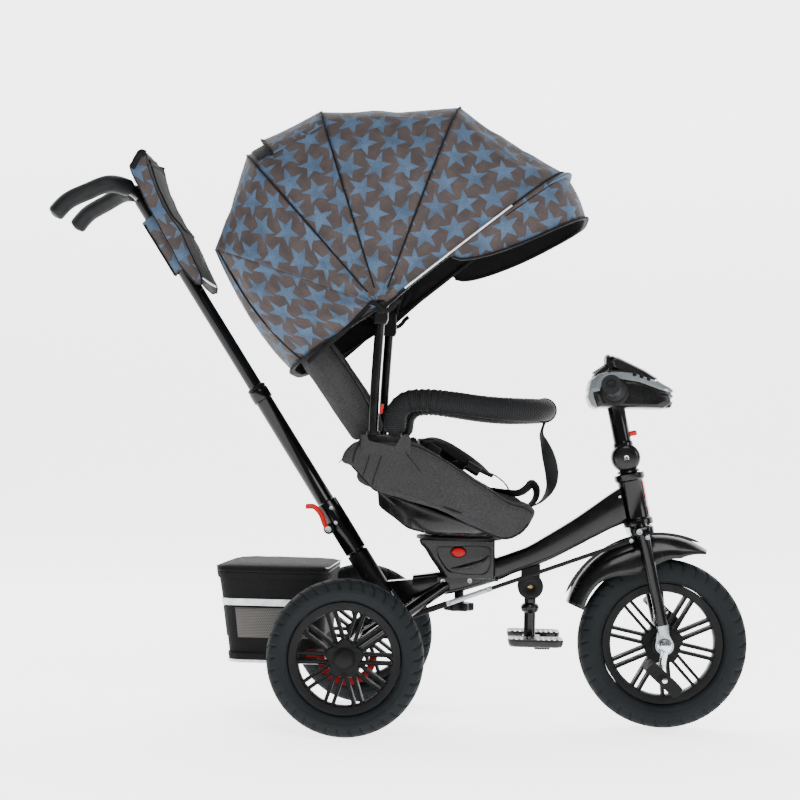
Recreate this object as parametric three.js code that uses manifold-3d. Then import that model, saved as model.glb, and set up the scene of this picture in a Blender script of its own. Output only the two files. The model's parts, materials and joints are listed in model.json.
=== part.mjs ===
// A children's tricycle with a parent's push handle, a swivelling seat and a folding canopy.
// Millimetres. X runs forward from the rear axle, +Y to the rider's left, +Z up from the ground.
import * as THREE from 'three';
import { mergeVertices } from 'three/addons/utils/BufferGeometryUtils.js';
import Module from 'manifold-3d';

const wasm = await Module();
wasm.setup();

// ---------------------------------------------------------------- driving dimensions
const GAP = 0.4;                       // clearance left wherever two pieces touch
const CENTRE_SHIFT = -66;              // moves the design's X so that the box is centred

const REAR_TYRE = { radius: 127, rim: 91, spokeRing: 76, hub: 32, halfWidth: 22, hubHalf: 20, spokePhase: 0 };
const FRONT_TYRE = { radius: 144, rim: 103, spokeRing: 88, hub: 36, halfWidth: 23, hubHalf: 40, spokePhase: -12 };
const WHEELBASE = 526;
const HALF_TRACK = 215;
const AXLE_RADIUS = 6;
const SPOKE_PAIRS = 10;
const SPOKE = { aside: 6.5, halfThick: 2.2, halfDeep: 5 };

const RAKE = THREE.MathUtils.degToRad(12);        // steering axis leans back, through the axle
const HEAD = { low: 205, high: 294, radius: 21.5, bore: 15, collar: 24, collarHigh: 9 };
const KNUCKLE_HEIGHT = 322;                        // handlebar tilt pivot, above the front axle
const BAR_HEIGHT = 432;
const STEM_BUTTON_HEIGHT = 392;
const FORK_HALF = 50;
const CROWN_LOW = 189;
const FENDER = { first: 54, last: 146, middle: 98, outer: 184, half: 35, skirt: 26, deepSkirt: 28 };

const SWIVEL_X = 176;                              // seat turntable axis
const BEAM_HALF = 19;
const FOOTREST_PIVOT = [300, 235];
const KNOB = { x: 178, low: 190, high: 204, top: 235.5, radius: 23, lobeDepth: 3, lobeCount: 6 };
const BUTTON = { z: 292, radius: 9, length: 13, outerY: -54 };

const BASKET = { halfTop: 140, halfBottom: 128, backTop: -222, backBottom: -200, frontTop: -40, frontBottom: -46,
  low: 107, high: 256, wall: 3 };
const LINK = { rear: [84, 177], front: [466.5, 318.6], y: -45 };    // ends of the steering link

const POLE_FOOT = [48, 212];                       // where the pole axis meets its socket
const POLE_LEAN = THREE.MathUtils.degToRad(33);
const POLE = { outer: 15, bore: 12.9, inner: 12.5, low: -45, collar: 418, top: 806 };

const POST_Y = 139;
const SOCKET = { back: 20.5, front: 83.5, low: 461.5, high: 492, postX: 32, barX: 68 };
const HUB = [41, 696];                             // canopy rib pivot
const RIBS = [                                     // angle from forward, reach at the middle
  { name: 'canopy_rib_rear', angle: 161, reach: 307 },
  { name: 'canopy_rib_1', angle: 132.3, reach: 356 },
  { name: 'canopy_rib_2', angle: 108.5, reach: 358 },
  { name: 'canopy_rib_3', angle: 70.8, reach: 371 },
  { name: 'canopy_rib_front', angle: 39.1, reach: 384 },
];
const RIB_PITCH = 3.5;                             // sideways step from one rib's end to the next
const RIB_THICK = 3;
const RIB_WIDTH = 6.4;
const RIB_EYE_HALF = 7;                            // half width of a rib's flat end round the pivot
const RIB_INNER_Y = 149.2;
const BOW_POWER = 4;
const FABRIC = 2;                                  // canopy cloth thickness in this model
const FABRIC_LIFT = 3.5;                           // cloth lies this far outside the rib lines
const VISOR = { start: 0.09, depth: 84, fullness: 0.6, curl: 0.002 };
const HEM = { angle: 214, reach: 186 };            // lower edge of the rear drop panel

const BACKREST = { pivot: [-2, 458], recline: THREE.MathUtils.degToRad(35.7) };

// ---------------------------------------------------------------- materials
function finish(color, roughness, metalness = 0) {
  return new THREE.MeshStandardMaterial({ color, roughness, metalness });
}

const GLOSS_BLACK = finish(0x0b0b0d, 0.25, 0.3);
const SATIN_BLACK = finish(0x1b1c1e, 0.5);
const TYRE_BLACK = finish(0x232527, 0.9);
const RIM_BLACK = finish(0x1d1f21, 0.65);
const CHROME = finish(0xc9ccd0, 0.2, 1);
const RED = finish(0xc01a1a, 0.4);
const FOAM = finish(0x17181a, 0.85);
const GREY_FABRIC = finish(0x3e4144, 0.95);
const STAR_FABRIC = finish(0x5b5a62, 0.9);
const MESH_FABRIC = finish(0x1a1b1d, 0.9);
const SILVER = finish(0xa9adb2, 0.35, 0.6);

// ---------------------------------------------------------------- geometry helpers
const root = new THREE.Group();
root.position.x = CENTRE_SHIFT;

function place(name, geometry, material, parent = root) {
  const mesh = new THREE.Mesh(geometry, material);
  mesh.name = name;
  parent.add(mesh);
  return mesh;
}

function signedVolume(positions, triangles) {
  let volume = 0;
  const corner = (i) => new THREE.Vector3(...positions.slice(3 * i, 3 * i + 3));
  for (let t = 0; t < triangles.length; t += 3) {
    const [a, b, c] = [corner(triangles[t]), corner(triangles[t + 1]), corner(triangles[t + 2])];
    volume += a.dot(b.cross(c));
  }
  return volume;
}

// A closed geometry from vertices and triangles, turned so that its faces point out.
function closed(positions, triangles) {
  const faces = signedVolume(positions, triangles) < 0 ? triangles.slice().reverse() : triangles;
  const geometry = new THREE.BufferGeometry();
  geometry.setAttribute('position', new THREE.Float32BufferAttribute(positions, 3));
  geometry.setIndex(faces);
  return geometry;
}

function toSolid(geometry) {
  const bare = geometry.clone();
  bare.deleteAttribute('normal');
  bare.deleteAttribute('uv');
  const merged = mergeVertices(bare, 1e-3);
  const vertProperties = new Float32Array(merged.attributes.position.array);
  const triVerts = new Uint32Array(merged.index.array);
  return new wasm.Manifold(new wasm.Mesh({ numProp: 3, vertProperties, triVerts }));
}

function fromSolid(solid) {
  const mesh = solid.getMesh();
  const positions = [];
  for (let v = 0; v < mesh.vertProperties.length; v += mesh.numProp) {
    positions.push(...mesh.vertProperties.slice(v, v + 3));
  }
  return closed(positions, Array.from(mesh.triVerts));
}

function joined(...geometries) {
  return fromSolid(geometries.map(toSolid).reduce((sum, next) => sum.add(next)));
}

function cut(geometry, ...tools) {
  return fromSolid(tools.map(toSolid).reduce((rest, tool) => rest.subtract(tool), toSolid(geometry)));
}

// Skins equal closed loops of points, one after another, and caps both ends.
function loft(sections) {
  const count = sections[0].length;
  const positions = sections.flat(2);
  const triangles = [];
  for (let s = 0; s < sections.length - 1; s++) {
    for (let i = 0; i < count; i++) {
      const a = s * count + i;
      const b = s * count + ((i + 1) % count);
      triangles.push(a, b, b + count, a, b + count, a + count);
    }
  }
  const last = (sections.length - 1) * count;
  for (const start of [0, last]) {
    const section = sections[start / count];
    const centre = positions.length / 3;
    for (let axis = 0; axis < 3; axis++) {
      positions.push(section.reduce((sum, point) => sum + point[axis], 0) / count);
    }
    for (let i = 0; i < count; i++) {
      const here = start + i;
      const next = start + ((i + 1) % count);
      triangles.push(centre, ...(start === 0 ? [next, here] : [here, next]));
    }
  }
  return closed(positions, triangles);
}

// Gives a grid of points a thickness along its own normals.
function thickSheet(grid, thickness) {
  const rows = grid.length;
  const columns = grid[0].length;
  const vector = (r, c) => new THREE.Vector3(...grid[r][c]);
  const outer = [];
  const inner = [];
  for (let r = 0; r < rows; r++) {
    for (let c = 0; c < columns; c++) {
      const along = vector(Math.min(r + 1, rows - 1), c).sub(vector(Math.max(r - 1, 0), c));
      const across = vector(r, Math.min(c + 1, columns - 1)).sub(vector(r, Math.max(c - 1, 0)));
      const normal = along.cross(across).normalize();
      outer.push(...grid[r][c]);
      inner.push(...vector(r, c).addScaledVector(normal, thickness).toArray());
    }
  }
  const index = (r, c, side) => side * rows * columns + r * columns + c;
  const triangles = [];
  const quad = (a, b, c, d) => triangles.push(a, b, c, a, c, d);
  for (let r = 0; r < rows - 1; r++) {
    for (let c = 0; c < columns - 1; c++) {
      quad(index(r, c, 0), index(r, c + 1, 0), index(r + 1, c + 1, 0), index(r + 1, c, 0));
      quad(index(r, c, 1), index(r + 1, c, 1), index(r + 1, c + 1, 1), index(r, c + 1, 1));
    }
    quad(index(r + 1, 0, 0), index(r + 1, 0, 1), index(r, 0, 1), index(r, 0, 0));
    const edge = columns - 1;
    quad(index(r, edge, 0), index(r, edge, 1), index(r + 1, edge, 1), index(r + 1, edge, 0));
  }
  for (let c = 0; c < columns - 1; c++) {
    quad(index(0, c, 0), index(0, c, 1), index(0, c + 1, 1), index(0, c + 1, 0));
    const edge = rows - 1;
    quad(index(edge, c + 1, 0), index(edge, c + 1, 1), index(edge, c, 1), index(edge, c, 0));
  }
  return closed([...outer, ...inner], triangles);
}

// An outline in the side view (X, Z) given a width across Y.
function sidePlate(outline, width, yCentre = 0, bevel = 0) {
  const shape = new THREE.Shape(outline.map(([x, z]) => new THREE.Vector2(x, z)));
  const geometry = new THREE.ExtrudeGeometry(shape, {
    depth: width - 2 * bevel,
    steps: 1,
    bevelEnabled: bevel > 0,
    bevelSize: bevel,
    bevelOffset: -bevel,
    bevelThickness: bevel,
    bevelSegments: 2,
  });
  geometry.rotateX(Math.PI / 2);
  geometry.translate(0, yCentre + width / 2 - bevel, 0);
  return geometry;
}

function box(x0, x1, y0, y1, z0, z1) {
  const geometry = new THREE.BoxGeometry(x1 - x0, y1 - y0, z1 - z0);
  geometry.translate((x0 + x1) / 2, (y0 + y1) / 2, (z0 + z1) / 2);
  return geometry;
}

// A cylinder between two points.
function rod(from, to, radius, sides = 20) {
  const start = new THREE.Vector3(...from);
  const axis = new THREE.Vector3(...to).sub(start);
  const geometry = new THREE.CylinderGeometry(radius, radius, axis.length(), sides);
  geometry.translate(0, axis.length() / 2, 0);
  const turn = new THREE.Quaternion().setFromUnitVectors(new THREE.Vector3(0, 1, 0), axis.normalize());
  geometry.applyQuaternion(turn);
  geometry.translate(...from);
  return geometry;
}

const BORE_SIDES = 8;                              // a tube's bore has fewer sides than its outside

function ringShape(radius, bore, sides) {
  const circle = (r, count) => Array.from({ length: count }, (_, i) => {
    const angle = (2 * Math.PI * i) / count;
    return new THREE.Vector2(r * Math.cos(angle), r * Math.sin(angle));
  });
  const shape = new THREE.Shape(circle(radius, sides));
  if (bore > 0) shape.holes.push(new THREE.Path(circle(bore / Math.cos(Math.PI / BORE_SIDES), BORE_SIDES)));
  return shape;
}

// A round tube, solid or bored, along a smooth curve through the points.
function bentTube(points, radius, { bore = 0, sides = 10, steps = 24 } = {}) {
  const curve = new THREE.CatmullRomCurve3(points.map((p) => new THREE.Vector3(...p)));
  return new THREE.ExtrudeGeometry(ringShape(radius, bore, sides), {
    steps,
    extrudePath: curve,
    bevelEnabled: false,
  });
}

// Points of the smooth curve through the given points, between two fractions of its length.
function stretch(points, from, to) {
  const curve = new THREE.CatmullRomCurve3(points.map((p) => new THREE.Vector3(...p)));
  const count = 40;
  return Array.from({ length: count + 1 }, (_, i) => (
    curve.getPointAt(from + ((to - from) * i) / count).toArray()));
}

// A lathe about Y of [radius, y] points.
function turned(profile, segments) {
  return new THREE.LatheGeometry(profile.map(([r, y]) => new THREE.Vector2(r, y)), segments);
}

// ---------------------------------------------------------------- wheels (centred, axle along Y)
const TYRE_SIDES = 32;
const RIM_SIDES = 32;

// The tyre is turned half a side, so that it stands on a flat at its stated radius.
function tyre({ radius, rim, halfWidth }) {
  const crown = radius / Math.cos(Math.PI / TYRE_SIDES);
  const bead = (rim + GAP) / Math.cos(Math.PI / RIM_SIDES);
  const wall = halfWidth - 8;
  const half = [[crown, 6], [crown - 6, halfWidth - 4], [crown - 18, halfWidth],
    [bead + 8, halfWidth - 3], [bead, wall]];
  const mirrored = half.slice().reverse().map(([r, y]) => [r, -y]);
  const geometry = turned([...mirrored, ...half, mirrored[0]], TYRE_SIDES);
  geometry.rotateY(Math.PI / TYRE_SIDES);
  return geometry;
}

// A moulded wheel: a stepped ring, a hub and paired bars, the first pair spokePhase degrees above forward.
function rim({ rim: outer, spokeRing, hub, halfWidth, hubHalf, spokePhase }) {
  const wall = halfWidth - 9;
  const { aside, halfThick, halfDeep } = SPOKE;
  const band = turned([[spokeRing, -wall + 4], [outer - 5, -wall], [outer, -wall], [outer, wall],
    [outer - 5, wall], [spokeRing, wall - 4], [spokeRing, -wall + 4]], RIM_SIDES);
  const body = rod([0, -hubHalf, 0], [0, hubHalf, 0], hub * 0.55, 14);
  const face = rod([0, -wall, 0], [0, wall, 0], hub, 20);
  const spokes = [];
  for (let pair = 0; pair < SPOKE_PAIRS; pair++) {
    for (const side of [-1, 1]) {
      const [low, high] = [side * aside - halfThick, side * aside + halfThick];
      const spoke = box(hub - 6, spokeRing + 5, -halfDeep, halfDeep, low, high);
      spoke.rotateY((2 * Math.PI * pair) / SPOKE_PAIRS - THREE.MathUtils.degToRad(spokePhase));
      spokes.push(spoke);
    }
  }
  const bore = rod([0, -hubHalf - 1, 0], [0, hubHalf + 1, 0], AXLE_RADIUS + GAP, 10);
  return cut(joined(band, body, face, ...spokes), bore);
}

function rearWheels() {
  for (const [side, y] of [['left', HALF_TRACK], ['right', -HALF_TRACK]]) {
    const wheel = new THREE.Group();
    wheel.position.set(0, y, REAR_TYRE.radius);
    root.add(wheel);
    place(`rear_tyre_${side}`, tyre(REAR_TYRE), TYRE_BLACK, wheel);
    place(`rear_rim_${side}`, rim(REAR_TYRE), RIM_BLACK, wheel);
  }
}

// ---------------------------------------------------------------- frame
const alongPole = (s, offset = 0, y = 0) => [
  POLE_FOOT[0] - s * Math.sin(POLE_LEAN) + offset * Math.cos(POLE_LEAN),
  y,
  POLE_FOOT[1] + s * Math.cos(POLE_LEAN) + offset * Math.sin(POLE_LEAN),
];

function roundedRect(halfWidth, low, high, corner) {
  const points = [];
  const cuts = [[1, 1], [-1, 1], [-1, -1], [1, -1]];
  for (const [sy, sz] of cuts) {
    const y = sy * (halfWidth - corner);
    const z = sz > 0 ? high - corner : low + corner;
    const first = [y + sy * corner, z];
    const second = [y, z + sz * corner];
    points.push(...(sy * sz > 0 ? [first, second] : [second, first]));
  }
  return points;
}

function mainBeam() {
  const stations = [[246, 284, 248], [296, 304, 266], [330, 325, 280], [366, 348, 299],
    [400, 372, 318], [428, 393, 337]];
  const sections = stations.map(([x, high, low]) => (
    roundedRect(BEAM_HALF, low, high, 7).map(([y, z]) => [x, y, z])));
  const [topX, topZ, bottomX, bottomZ] = [446, 406, 458, 354];
  sections.push(roundedRect(BEAM_HALF - 3, 0, 1, 0.2).map(([y, t]) => (
    [bottomX + t * (topX - bottomX), y, bottomZ + t * (topZ - bottomZ)])));
  const [px, pz] = FOOTREST_PIVOT;
  const cheeks = [-1, 1].map((side) => joined(
    rod([px, side * 10, pz], [px, side * 17, pz], 22, 24),
    box(px - 16, px + 16, Math.min(side * 10, side * 17), Math.max(side * 10, side * 17), pz, 272),
  ));
  const pin = rod([px, -12, pz], [px, 12, pz], 4, 12);
  place('main_beam', joined(loft(sections), ...cheeks, pin), GLOSS_BLACK);
}

function rearFrame() {
  const underPlate = box(140, 245.5, -24, 24, 236, 247.5);
  const [topX, , topZ] = alongPole(18, 19.5);
  const [lowX, , lowZ] = alongPole(-30, 19.5);
  const web = sidePlate([[lowX + 4, lowZ], [150, 240], [145, 247], [topX, topZ]], 28);
  const axleTube = rod([0, -158, REAR_TYRE.radius], [0, 158, REAR_TYRE.radius], 12, 20);
  const stays = [-1, 1].map((side) => (
    rod([152, side * 20, 233], [0, side * 146, REAR_TYRE.radius], 11, 12)));
  const bore = rod([0, -200, REAR_TYRE.radius], [0, 200, REAR_TYRE.radius], AXLE_RADIUS + GAP, 16);
  place('rear_frame', cut(joined(underPlate, web, axleTube, ...stays), bore), GLOSS_BLACK);
  const end = HALF_TRACK + 26;
  place('rear_axle', rod([0, -end, REAR_TYRE.radius], [0, end, REAR_TYRE.radius], AXLE_RADIUS, 16), CHROME);
}

function headTube() {
  const { low, high, radius, bore, collar, collarHigh } = HEAD;
  const profile = [[bore, low], [collar, low], [collar, low + collarHigh + 1], [radius, low + collarHigh + 2],
    [radius, high - collarHigh], [collar, high - collarHigh + 1], [collar, high], [bore, high], [bore, low]];
  const geometry = turned(profile, 20);
  geometry.rotateX(Math.PI / 2);
  geometry.rotateY(-RAKE);
  geometry.translate(WHEELBASE, 0, FRONT_TYRE.radius);
  place('head_tube', geometry, GLOSS_BLACK);
}

function pedestal() {
  const block = sidePlate([[119, 312], [238, 312], [239, 248], [151, 248], [108, 308]], 100, 0, 3);
  const { z, radius, length, outerY } = BUTTON;
  const pocket = rod([SWIVEL_X, outerY - 6, z], [SWIVEL_X, outerY + length + 7, z], radius + 0.5, 20);
  place('seat_pedestal', cut(block, pocket), GLOSS_BLACK);
  const button = rod([SWIVEL_X, outerY, z], [SWIVEL_X, outerY + length, z], radius, 20);
  place('swivel_button', button, RED);
}

function frameKnob() {
  const { x, low, high, top, radius, lobeDepth, lobeCount } = KNOB;
  const lobes = new THREE.Shape();
  const corners = 48;
  for (let i = 0; i < corners; i++) {
    const angle = (2 * Math.PI * i) / corners;
    const r = radius + lobeDepth * Math.cos(lobeCount * angle);
    const point = [r * Math.cos(angle), r * Math.sin(angle)];
    if (i === 0) lobes.moveTo(...point);
    else lobes.lineTo(...point);
  }
  const head = new THREE.ExtrudeGeometry(lobes, { depth: high - low, bevelEnabled: false });
  head.translate(x, 0, low);
  place('frame_knob', joined(head, rod([x, 0, high - 4], [x, 0, top], 8, 16)), SATIN_BLACK);
}

function footrest() {
  const [px, pz] = FOOTREST_PIVOT;
  const eye = rod([px, -9.4, pz], [px, 9.4, pz], 20, 24);
  const stem = rod([px, 0, 146], [px, 0, pz - 10], 10, 16);
  const collar = rod([px, 0, 192], [px, 0, 204], 15, 20);
  const crossbar = box(px - 12, px + 18, -40, 40, 138, 150);
  const block = box(px + 8, px + 34, -30, 30, 128, 139);
  const plates = [-1, 1].map((side) => sidePlate(
    [[262, 143], [268, 140], [348, 140], [354, 143], [354, 150], [350, 153], [266, 153], [262, 150]],
    70, side * 72));
  const bore = rod([px, -20, pz], [px, 20, pz], 4 + GAP, 12);
  place('footrest', cut(joined(eye, stem, collar, crossbar, block, ...plates), bore), SATIN_BLACK);
}

function brake() {
  const [near, far] = [-176, -162];
  const z = REAR_TYRE.radius;
  const hub = rod([0, near, z], [0, far, z], 13, 20);
  const cradle = new THREE.Shape();
  cradle.absarc(0, 0, 49, Math.PI, 2 * Math.PI, false);
  cradle.absarc(0, 0, 37, 2 * Math.PI, Math.PI, true);
  const arc = new THREE.ExtrudeGeometry(cradle, { depth: 10, bevelEnabled: false, curveSegments: 10 });
  arc.rotateX(Math.PI / 2);
  arc.translate(0, far - 2, z);
  const arms = [[-44, 3], [0, -44], [44, 3]].map(([x, dz]) => (
    rod([0, (near + far) / 2, z], [x, (near + far) / 2, z + dz], 4, 10)));
  const pad = box(-66, -38, near + 2, far + 12, z - 5, z + 6);
  const bore = rod([0, near - 1, z], [0, far + 1, z], AXLE_RADIUS + GAP, 16);
  place('brake_pedal', cut(joined(hub, arc, pad, ...arms), bore), RED);
}

function basket() {
  const { halfTop, halfBottom, backTop, backBottom, frontTop, frontBottom, low, high, wall } = BASKET;
  const section = (back, front, half, z) => [[back, -half, z], [front, -half, z], [front, half, z], [back, half, z]];
  const outside = loft([section(backBottom, frontBottom, halfBottom, low), section(backTop, frontTop, halfTop, high)]);
  const inside = loft([
    section(backBottom + wall, frontBottom - wall, halfBottom - wall, low + wall),
    section(backTop + wall, frontTop - wall, halfTop - wall, high + 1),
  ]);
  place('basket', cut(outside, inside), MESH_FABRIC);
  const lid = (inset, z) => section(backTop - 1 + inset, frontTop + 2 - inset, halfTop + 2 - inset, z);
  place('basket_lid', loft([lid(0, high + GAP), lid(0, high + 9), lid(8, high + 14)]), MESH_FABRIC);
}

// Three stepped bars, each from one fraction of the length to the next, on the rider's right.
function steeringLink() {
  const { rear, front, y: linkY } = LINK;
  const parts = [[0, 0.19, 5, 7], [0.19, 0.38, 4, 5.5], [0.38, 1, 3.2, 4]];
  const at = (t) => [rear[0] + t * (front[0] - rear[0]), rear[1] + t * (front[1] - rear[1])];
  const bars = parts.map(([t0, t1, halfHigh, halfWide]) => {
    const ends = [Math.max(t0 - 0.005, 0), t1].map(at);
    return loft(ends.map(([x, z]) => (
      roundedRect(halfWide, z - halfHigh, z + halfHigh, 2).map(([y, height]) => [x, y + linkY, height]))));
  });
  place('steering_link', joined(...bars), SILVER);
}

// ---------------------------------------------------------------- parent's push handle
const LEVER_PATH = [[-48, 325], [-53, 330], [-62, 351], [-74, 363], [-88, 363]];
const LEVER_Y = 25;

function pushHandle() {
  const tube = (from, to, radius, bore, sides = 16) => {
    const profile = [[bore, from], [radius, from], [radius, to], [bore, to], [bore, from]];
    const geometry = turned(profile, sides);
    geometry.rotateX(Math.PI / 2);
    geometry.rotateY(-POLE_LEAN);
    geometry.translate(POLE_FOOT[0], 0, POLE_FOOT[1]);
    return geometry;
  };
  place('pole_socket', tube(0, 88, 19, POLE.outer + GAP), SATIN_BLACK);

  const lower = tube(POLE.low, POLE.collar, POLE.outer, POLE.bore);
  const sleeve = tube(90, 190, 19, POLE.outer - 1);
  const collar = tube(POLE.collar - 22, POLE.collar, 17.5, POLE.bore);
  const armStart = alongPole(POLE.low + 8, 0, -POLE.outer + 1);
  const armEnd = alongPole(POLE.low + 8, 0, -52);
  const [leverX, leverZ] = LEVER_PATH[0];
  const leverBoss = rod([leverX, -8, leverZ], [leverX, -LEVER_Y + 4.5 + GAP, leverZ], 7, 12);
  const arm = rod(armStart, armEnd, 6, 12);
  place('lower_pole', joined(lower, sleeve, collar, arm, leverBoss), GLOSS_BLACK);

  const upper = tube(250, POLE.top, POLE.inner, POLE.inner - 2);
  const head = alongPole(POLE.top + 9);
  const bow = pushBarPoints(head);
  const crossbar = bentTube(bow, 10, { sides: 8, steps: 26 });
  const lug = rod(alongPole(POLE.top - 6), alongPole(POLE.top + 6), POLE.inner, 16);
  place('upper_pole', joined(upper, lug, crossbar), GLOSS_BLACK);
  for (const side of [-1, 1]) {
    const half = pushBarPoints(head).slice(0, 5).map(([x, y, z]) => [x, -side * y, z]);
    const name = side < 0 ? 'push_grip_right' : 'push_grip_left';
    place(name, pushGrip(half), FOAM);
  }

  const leverPoints = LEVER_PATH.map(([x, z]) => [x, -LEVER_Y, z]);
  place('clamp_lever', bentTube(leverPoints, 4.5, { sides: 8, steps: 10 }), RED);
}

// The bow carries the two grips: from one grip's end, over the pole, to the other's.
function pushBarPoints([x, , z]) {
  const half = [[-131, -82, -46], [-108, -78, -20], [-76, -71, -2], [-42, -58, 14], [-16, -34, 12], [-2, -14, 4]];
  const right = half.map(([dx, y, dz]) => [x + dx, y, z + dz]);
  return [...right, [x, 0, z + 1], ...right.slice().reverse().map(([px, py, pz]) => [px, -py, pz])];
}

function pushGrip(points) {
  return bentTube(points, 15, { bore: 10 + 2 * GAP, sides: 12, steps: 9 });
}

const BAG_OUTLINE = [[14.5, 622], [31, 628], [37, 729], [52, 830], [48, 881], [22, 869], [16, 760]];
const BAG_WIDTH = 170;

function poleBag() {
  const side = BAG_OUTLINE.map(([offset, s]) => {
    const [x, , z] = alongPole(s, offset);
    return [x, z];
  });
  place('pole_bag', sidePlate(side, BAG_WIDTH, 0, 5), STAR_FABRIC);
}

// ---------------------------------------------------------------- seat
const wingOuter = (x) => 150 - 0.0025 * Math.max(0, x - 120) ** 2;
const wingInner = (x) => wingOuter(x) - 22 - 0.12 * Math.max(0, x - 120);

function seatWings() {
  const stations = [[-27, 450, 440], [-16, 470, 437], [0, 481, 430], [19, 486, 409], [19.5, 461, 408],
    [38, 461, 391], [84, 461, 376], [84.5, 488, 376], [103, 481, 371], [139, 465, 361], [169, 447, 348],
    [203, 425, 333], [228, 409, 322], [250, 394, 314], [264, 387, 316], [281, 384, 325], [292, 379, 337],
    [303, 370, 358]];
  for (const [side, sign] of [['left', 1], ['right', -1]]) {
    const sections = stations.map(([x, high, low]) => {
      const middle = (wingOuter(x) + wingInner(x)) / 2;
      const half = (wingOuter(x) - wingInner(x)) / 2;
      return roundedRect(half, low, high, 4).map(([y, z]) => [x, sign * (y + middle), z]);
    });
    place(`seat_wing_${side}`, loft(sections), GREY_FABRIC);
  }
}

function seatCushion() {
  const stations = [[2, 432, 407], [60, 425, 394], [120, 414, 382], [180, 403, 370], [230, 394, 360],
    [270, 387, 351], [288, 380, 352], [298, 372, 358]];
  const sections = stations.map(([x, high, low]) => (
    roundedRect(wingInner(x) - 3, low, high, 6).map(([y, z]) => [x, y, z])));
  place('seat_cushion', loft(sections), GREY_FABRIC);
}

function seatTub() {
  const stations = [[46, 393, 376], [50, 392, 367], [75, 388, 341], [96, 383, 330], [130, 376, 322], [150, 372, 320],
    [200, 362, 320], [236, 355, 320], [248, 352, 334]];
  const sections = stations.map(([x, high, low]) => (
    roundedRect(Math.min(98, wingInner(x) - 3), low, high, 8).map(([y, z]) => [x, y, z])));
  place('seat_tub', loft(sections), GLOSS_BLACK);
  place('turntable', rod([SWIVEL_X, 0, 312.5], [SWIVEL_X, 0, 319.6], 74, 36), SATIN_BLACK);
}

// The backrest's own frame: s along it from the pivot, n towards the child.
function onBackrest(s, n, y) {
  const [x, z] = BACKREST.pivot;
  const [sin, cos] = [Math.sin(BACKREST.recline), Math.cos(BACKREST.recline)];
  return [x - s * sin + n * cos, y, z + s * cos + n * sin];
}

function backrest() {
  const stations = [[8, 118, 60], [60, 125, 72], [150, 125, 72], [220, 116, 66], [260, 98, 56], [285, 74, 42]];
  const [rear, pad, bolster] = [14, 40, 26];
  const sections = stations.map(([s, half, depth]) => {
    const inner = half - bolster;
    const loop = [[-half, rear + 6], [-half + 8, rear], [half - 8, rear], [half, rear + 6], [half, depth],
      [half - 8, depth + 6], [inner + 4, depth], [inner, pad], [-inner, pad], [-inner - 4, depth],
      [-half + 8, depth + 6], [-half, depth]];
    return loop.map(([y, n]) => onBackrest(s, n, y));
  });
  place('backrest', loft(sections), GREY_FABRIC);
}

function seatSockets() {
  for (const [side, sign] of [['left', 1], ['right', -1]]) {
    const y = sign * POST_Y;
    const block = sidePlate([[SOCKET.back, SOCKET.low], [SOCKET.front, SOCKET.low], [SOCKET.front, SOCKET.high - 6],
      [SOCKET.front - 6, SOCKET.high], [SOCKET.back, SOCKET.high]], 24, y);
    const bores = [SOCKET.postX, SOCKET.barX].map((x) => (
      rod([x, y, SOCKET.low + 8], [x, y, SOCKET.high + 2], 8 + GAP, 14)));
    place(`seat_socket_${side}`, cut(block, ...bores), GLOSS_BLACK);
    const foot = [SOCKET.postX, y, SOCKET.low + 9];
    const top = [HUB[0], y, HUB[1] + 10];
    const pinEnd = RIB_INNER_Y + RIBS.length * RIB_PITCH;
    const pin = rod([HUB[0], y, HUB[1]], [HUB[0], sign * pinEnd, HUB[1]], 3.2, 8);
    const straight = rod(foot, [SOCKET.postX, y, SOCKET.high + 8], 8, 12);
    place(`canopy_post_${side}`, joined(straight, rod([SOCKET.postX, y, SOCKET.high + 6], top, 8, 12), pin), GLOSS_BLACK);
  }
}

const BAR_HALF_PATH = [[68, 139, 472], [68, 139, 492], [68, 139, 505], [72, 139, 527], [87, 138, 542],
  [114, 137, 546], [165, 136, 542], [213, 133, 537], [256, 124, 534], [292, 100, 534], [313, 60, 536], [318, 20, 537]];

function bumperBar() {
  const left = BAR_HALF_PATH;
  const right = left.slice().reverse().map(([x, y, z]) => [x, -y, z]);
  const path = [...left, ...right];
  const steps = 44;
  const bare = 2;                                  // steps of bar left bare at each end
  const padded = stretch(path, bare / steps, 1 - bare / steps);
  place('bumper_bar', bentTube(path, 8, { sides: 6, steps }), SATIN_BLACK);
  place('bumper_foam', bentTube(padded, 19, { bore: 9.5, sides: 9, steps: steps - 2 * bare }), FOAM);
}

function strap(points, halfWidth, thickness) {
  const sections = points.map(([x, y, z], i) => {
    const before = new THREE.Vector3(...points[Math.max(i - 1, 0)]);
    const after = new THREE.Vector3(...points[Math.min(i + 1, points.length - 1)]);
    const along = after.sub(before).normalize();
    const half = thickness / 2;
    const [nx, nz] = [-along.z * half, along.x * half];
    return [[x + nx, y - halfWidth, z + nz], [x + nx, y + halfWidth, z + nz],
      [x - nx, y + halfWidth, z - nz], [x - nx, y - halfWidth, z - nz]];
  });
  return loft(sections);
}

function straps() {
  const crotch = [[319, 0, 515], [318, 0, 485], [322, 0, 450], [330, 0, 409], [320, 0, 388], [308, 0, 373]];
  place('crotch_strap', strap(crotch, 14, 2.5), SATIN_BLACK);
  const belt = [[62, 100, 440], [95, 70, 433], [140, 30, 426], [150, 0, 425], [140, -30, 426], [95, -70, 433],
    [62, -100, 440]];
  const sections = belt.map(([x, y, z]) => [[x - 12, y, z - 1], [x + 12, y, z - 4], [x + 12, y, z - 1], [x - 12, y, z + 2]]);
  const buckle = box(125, 168, -20, 20, 420, 432);
  place('seat_harness', joined(loft(sections), buckle), SATIN_BLACK);
}

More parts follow.
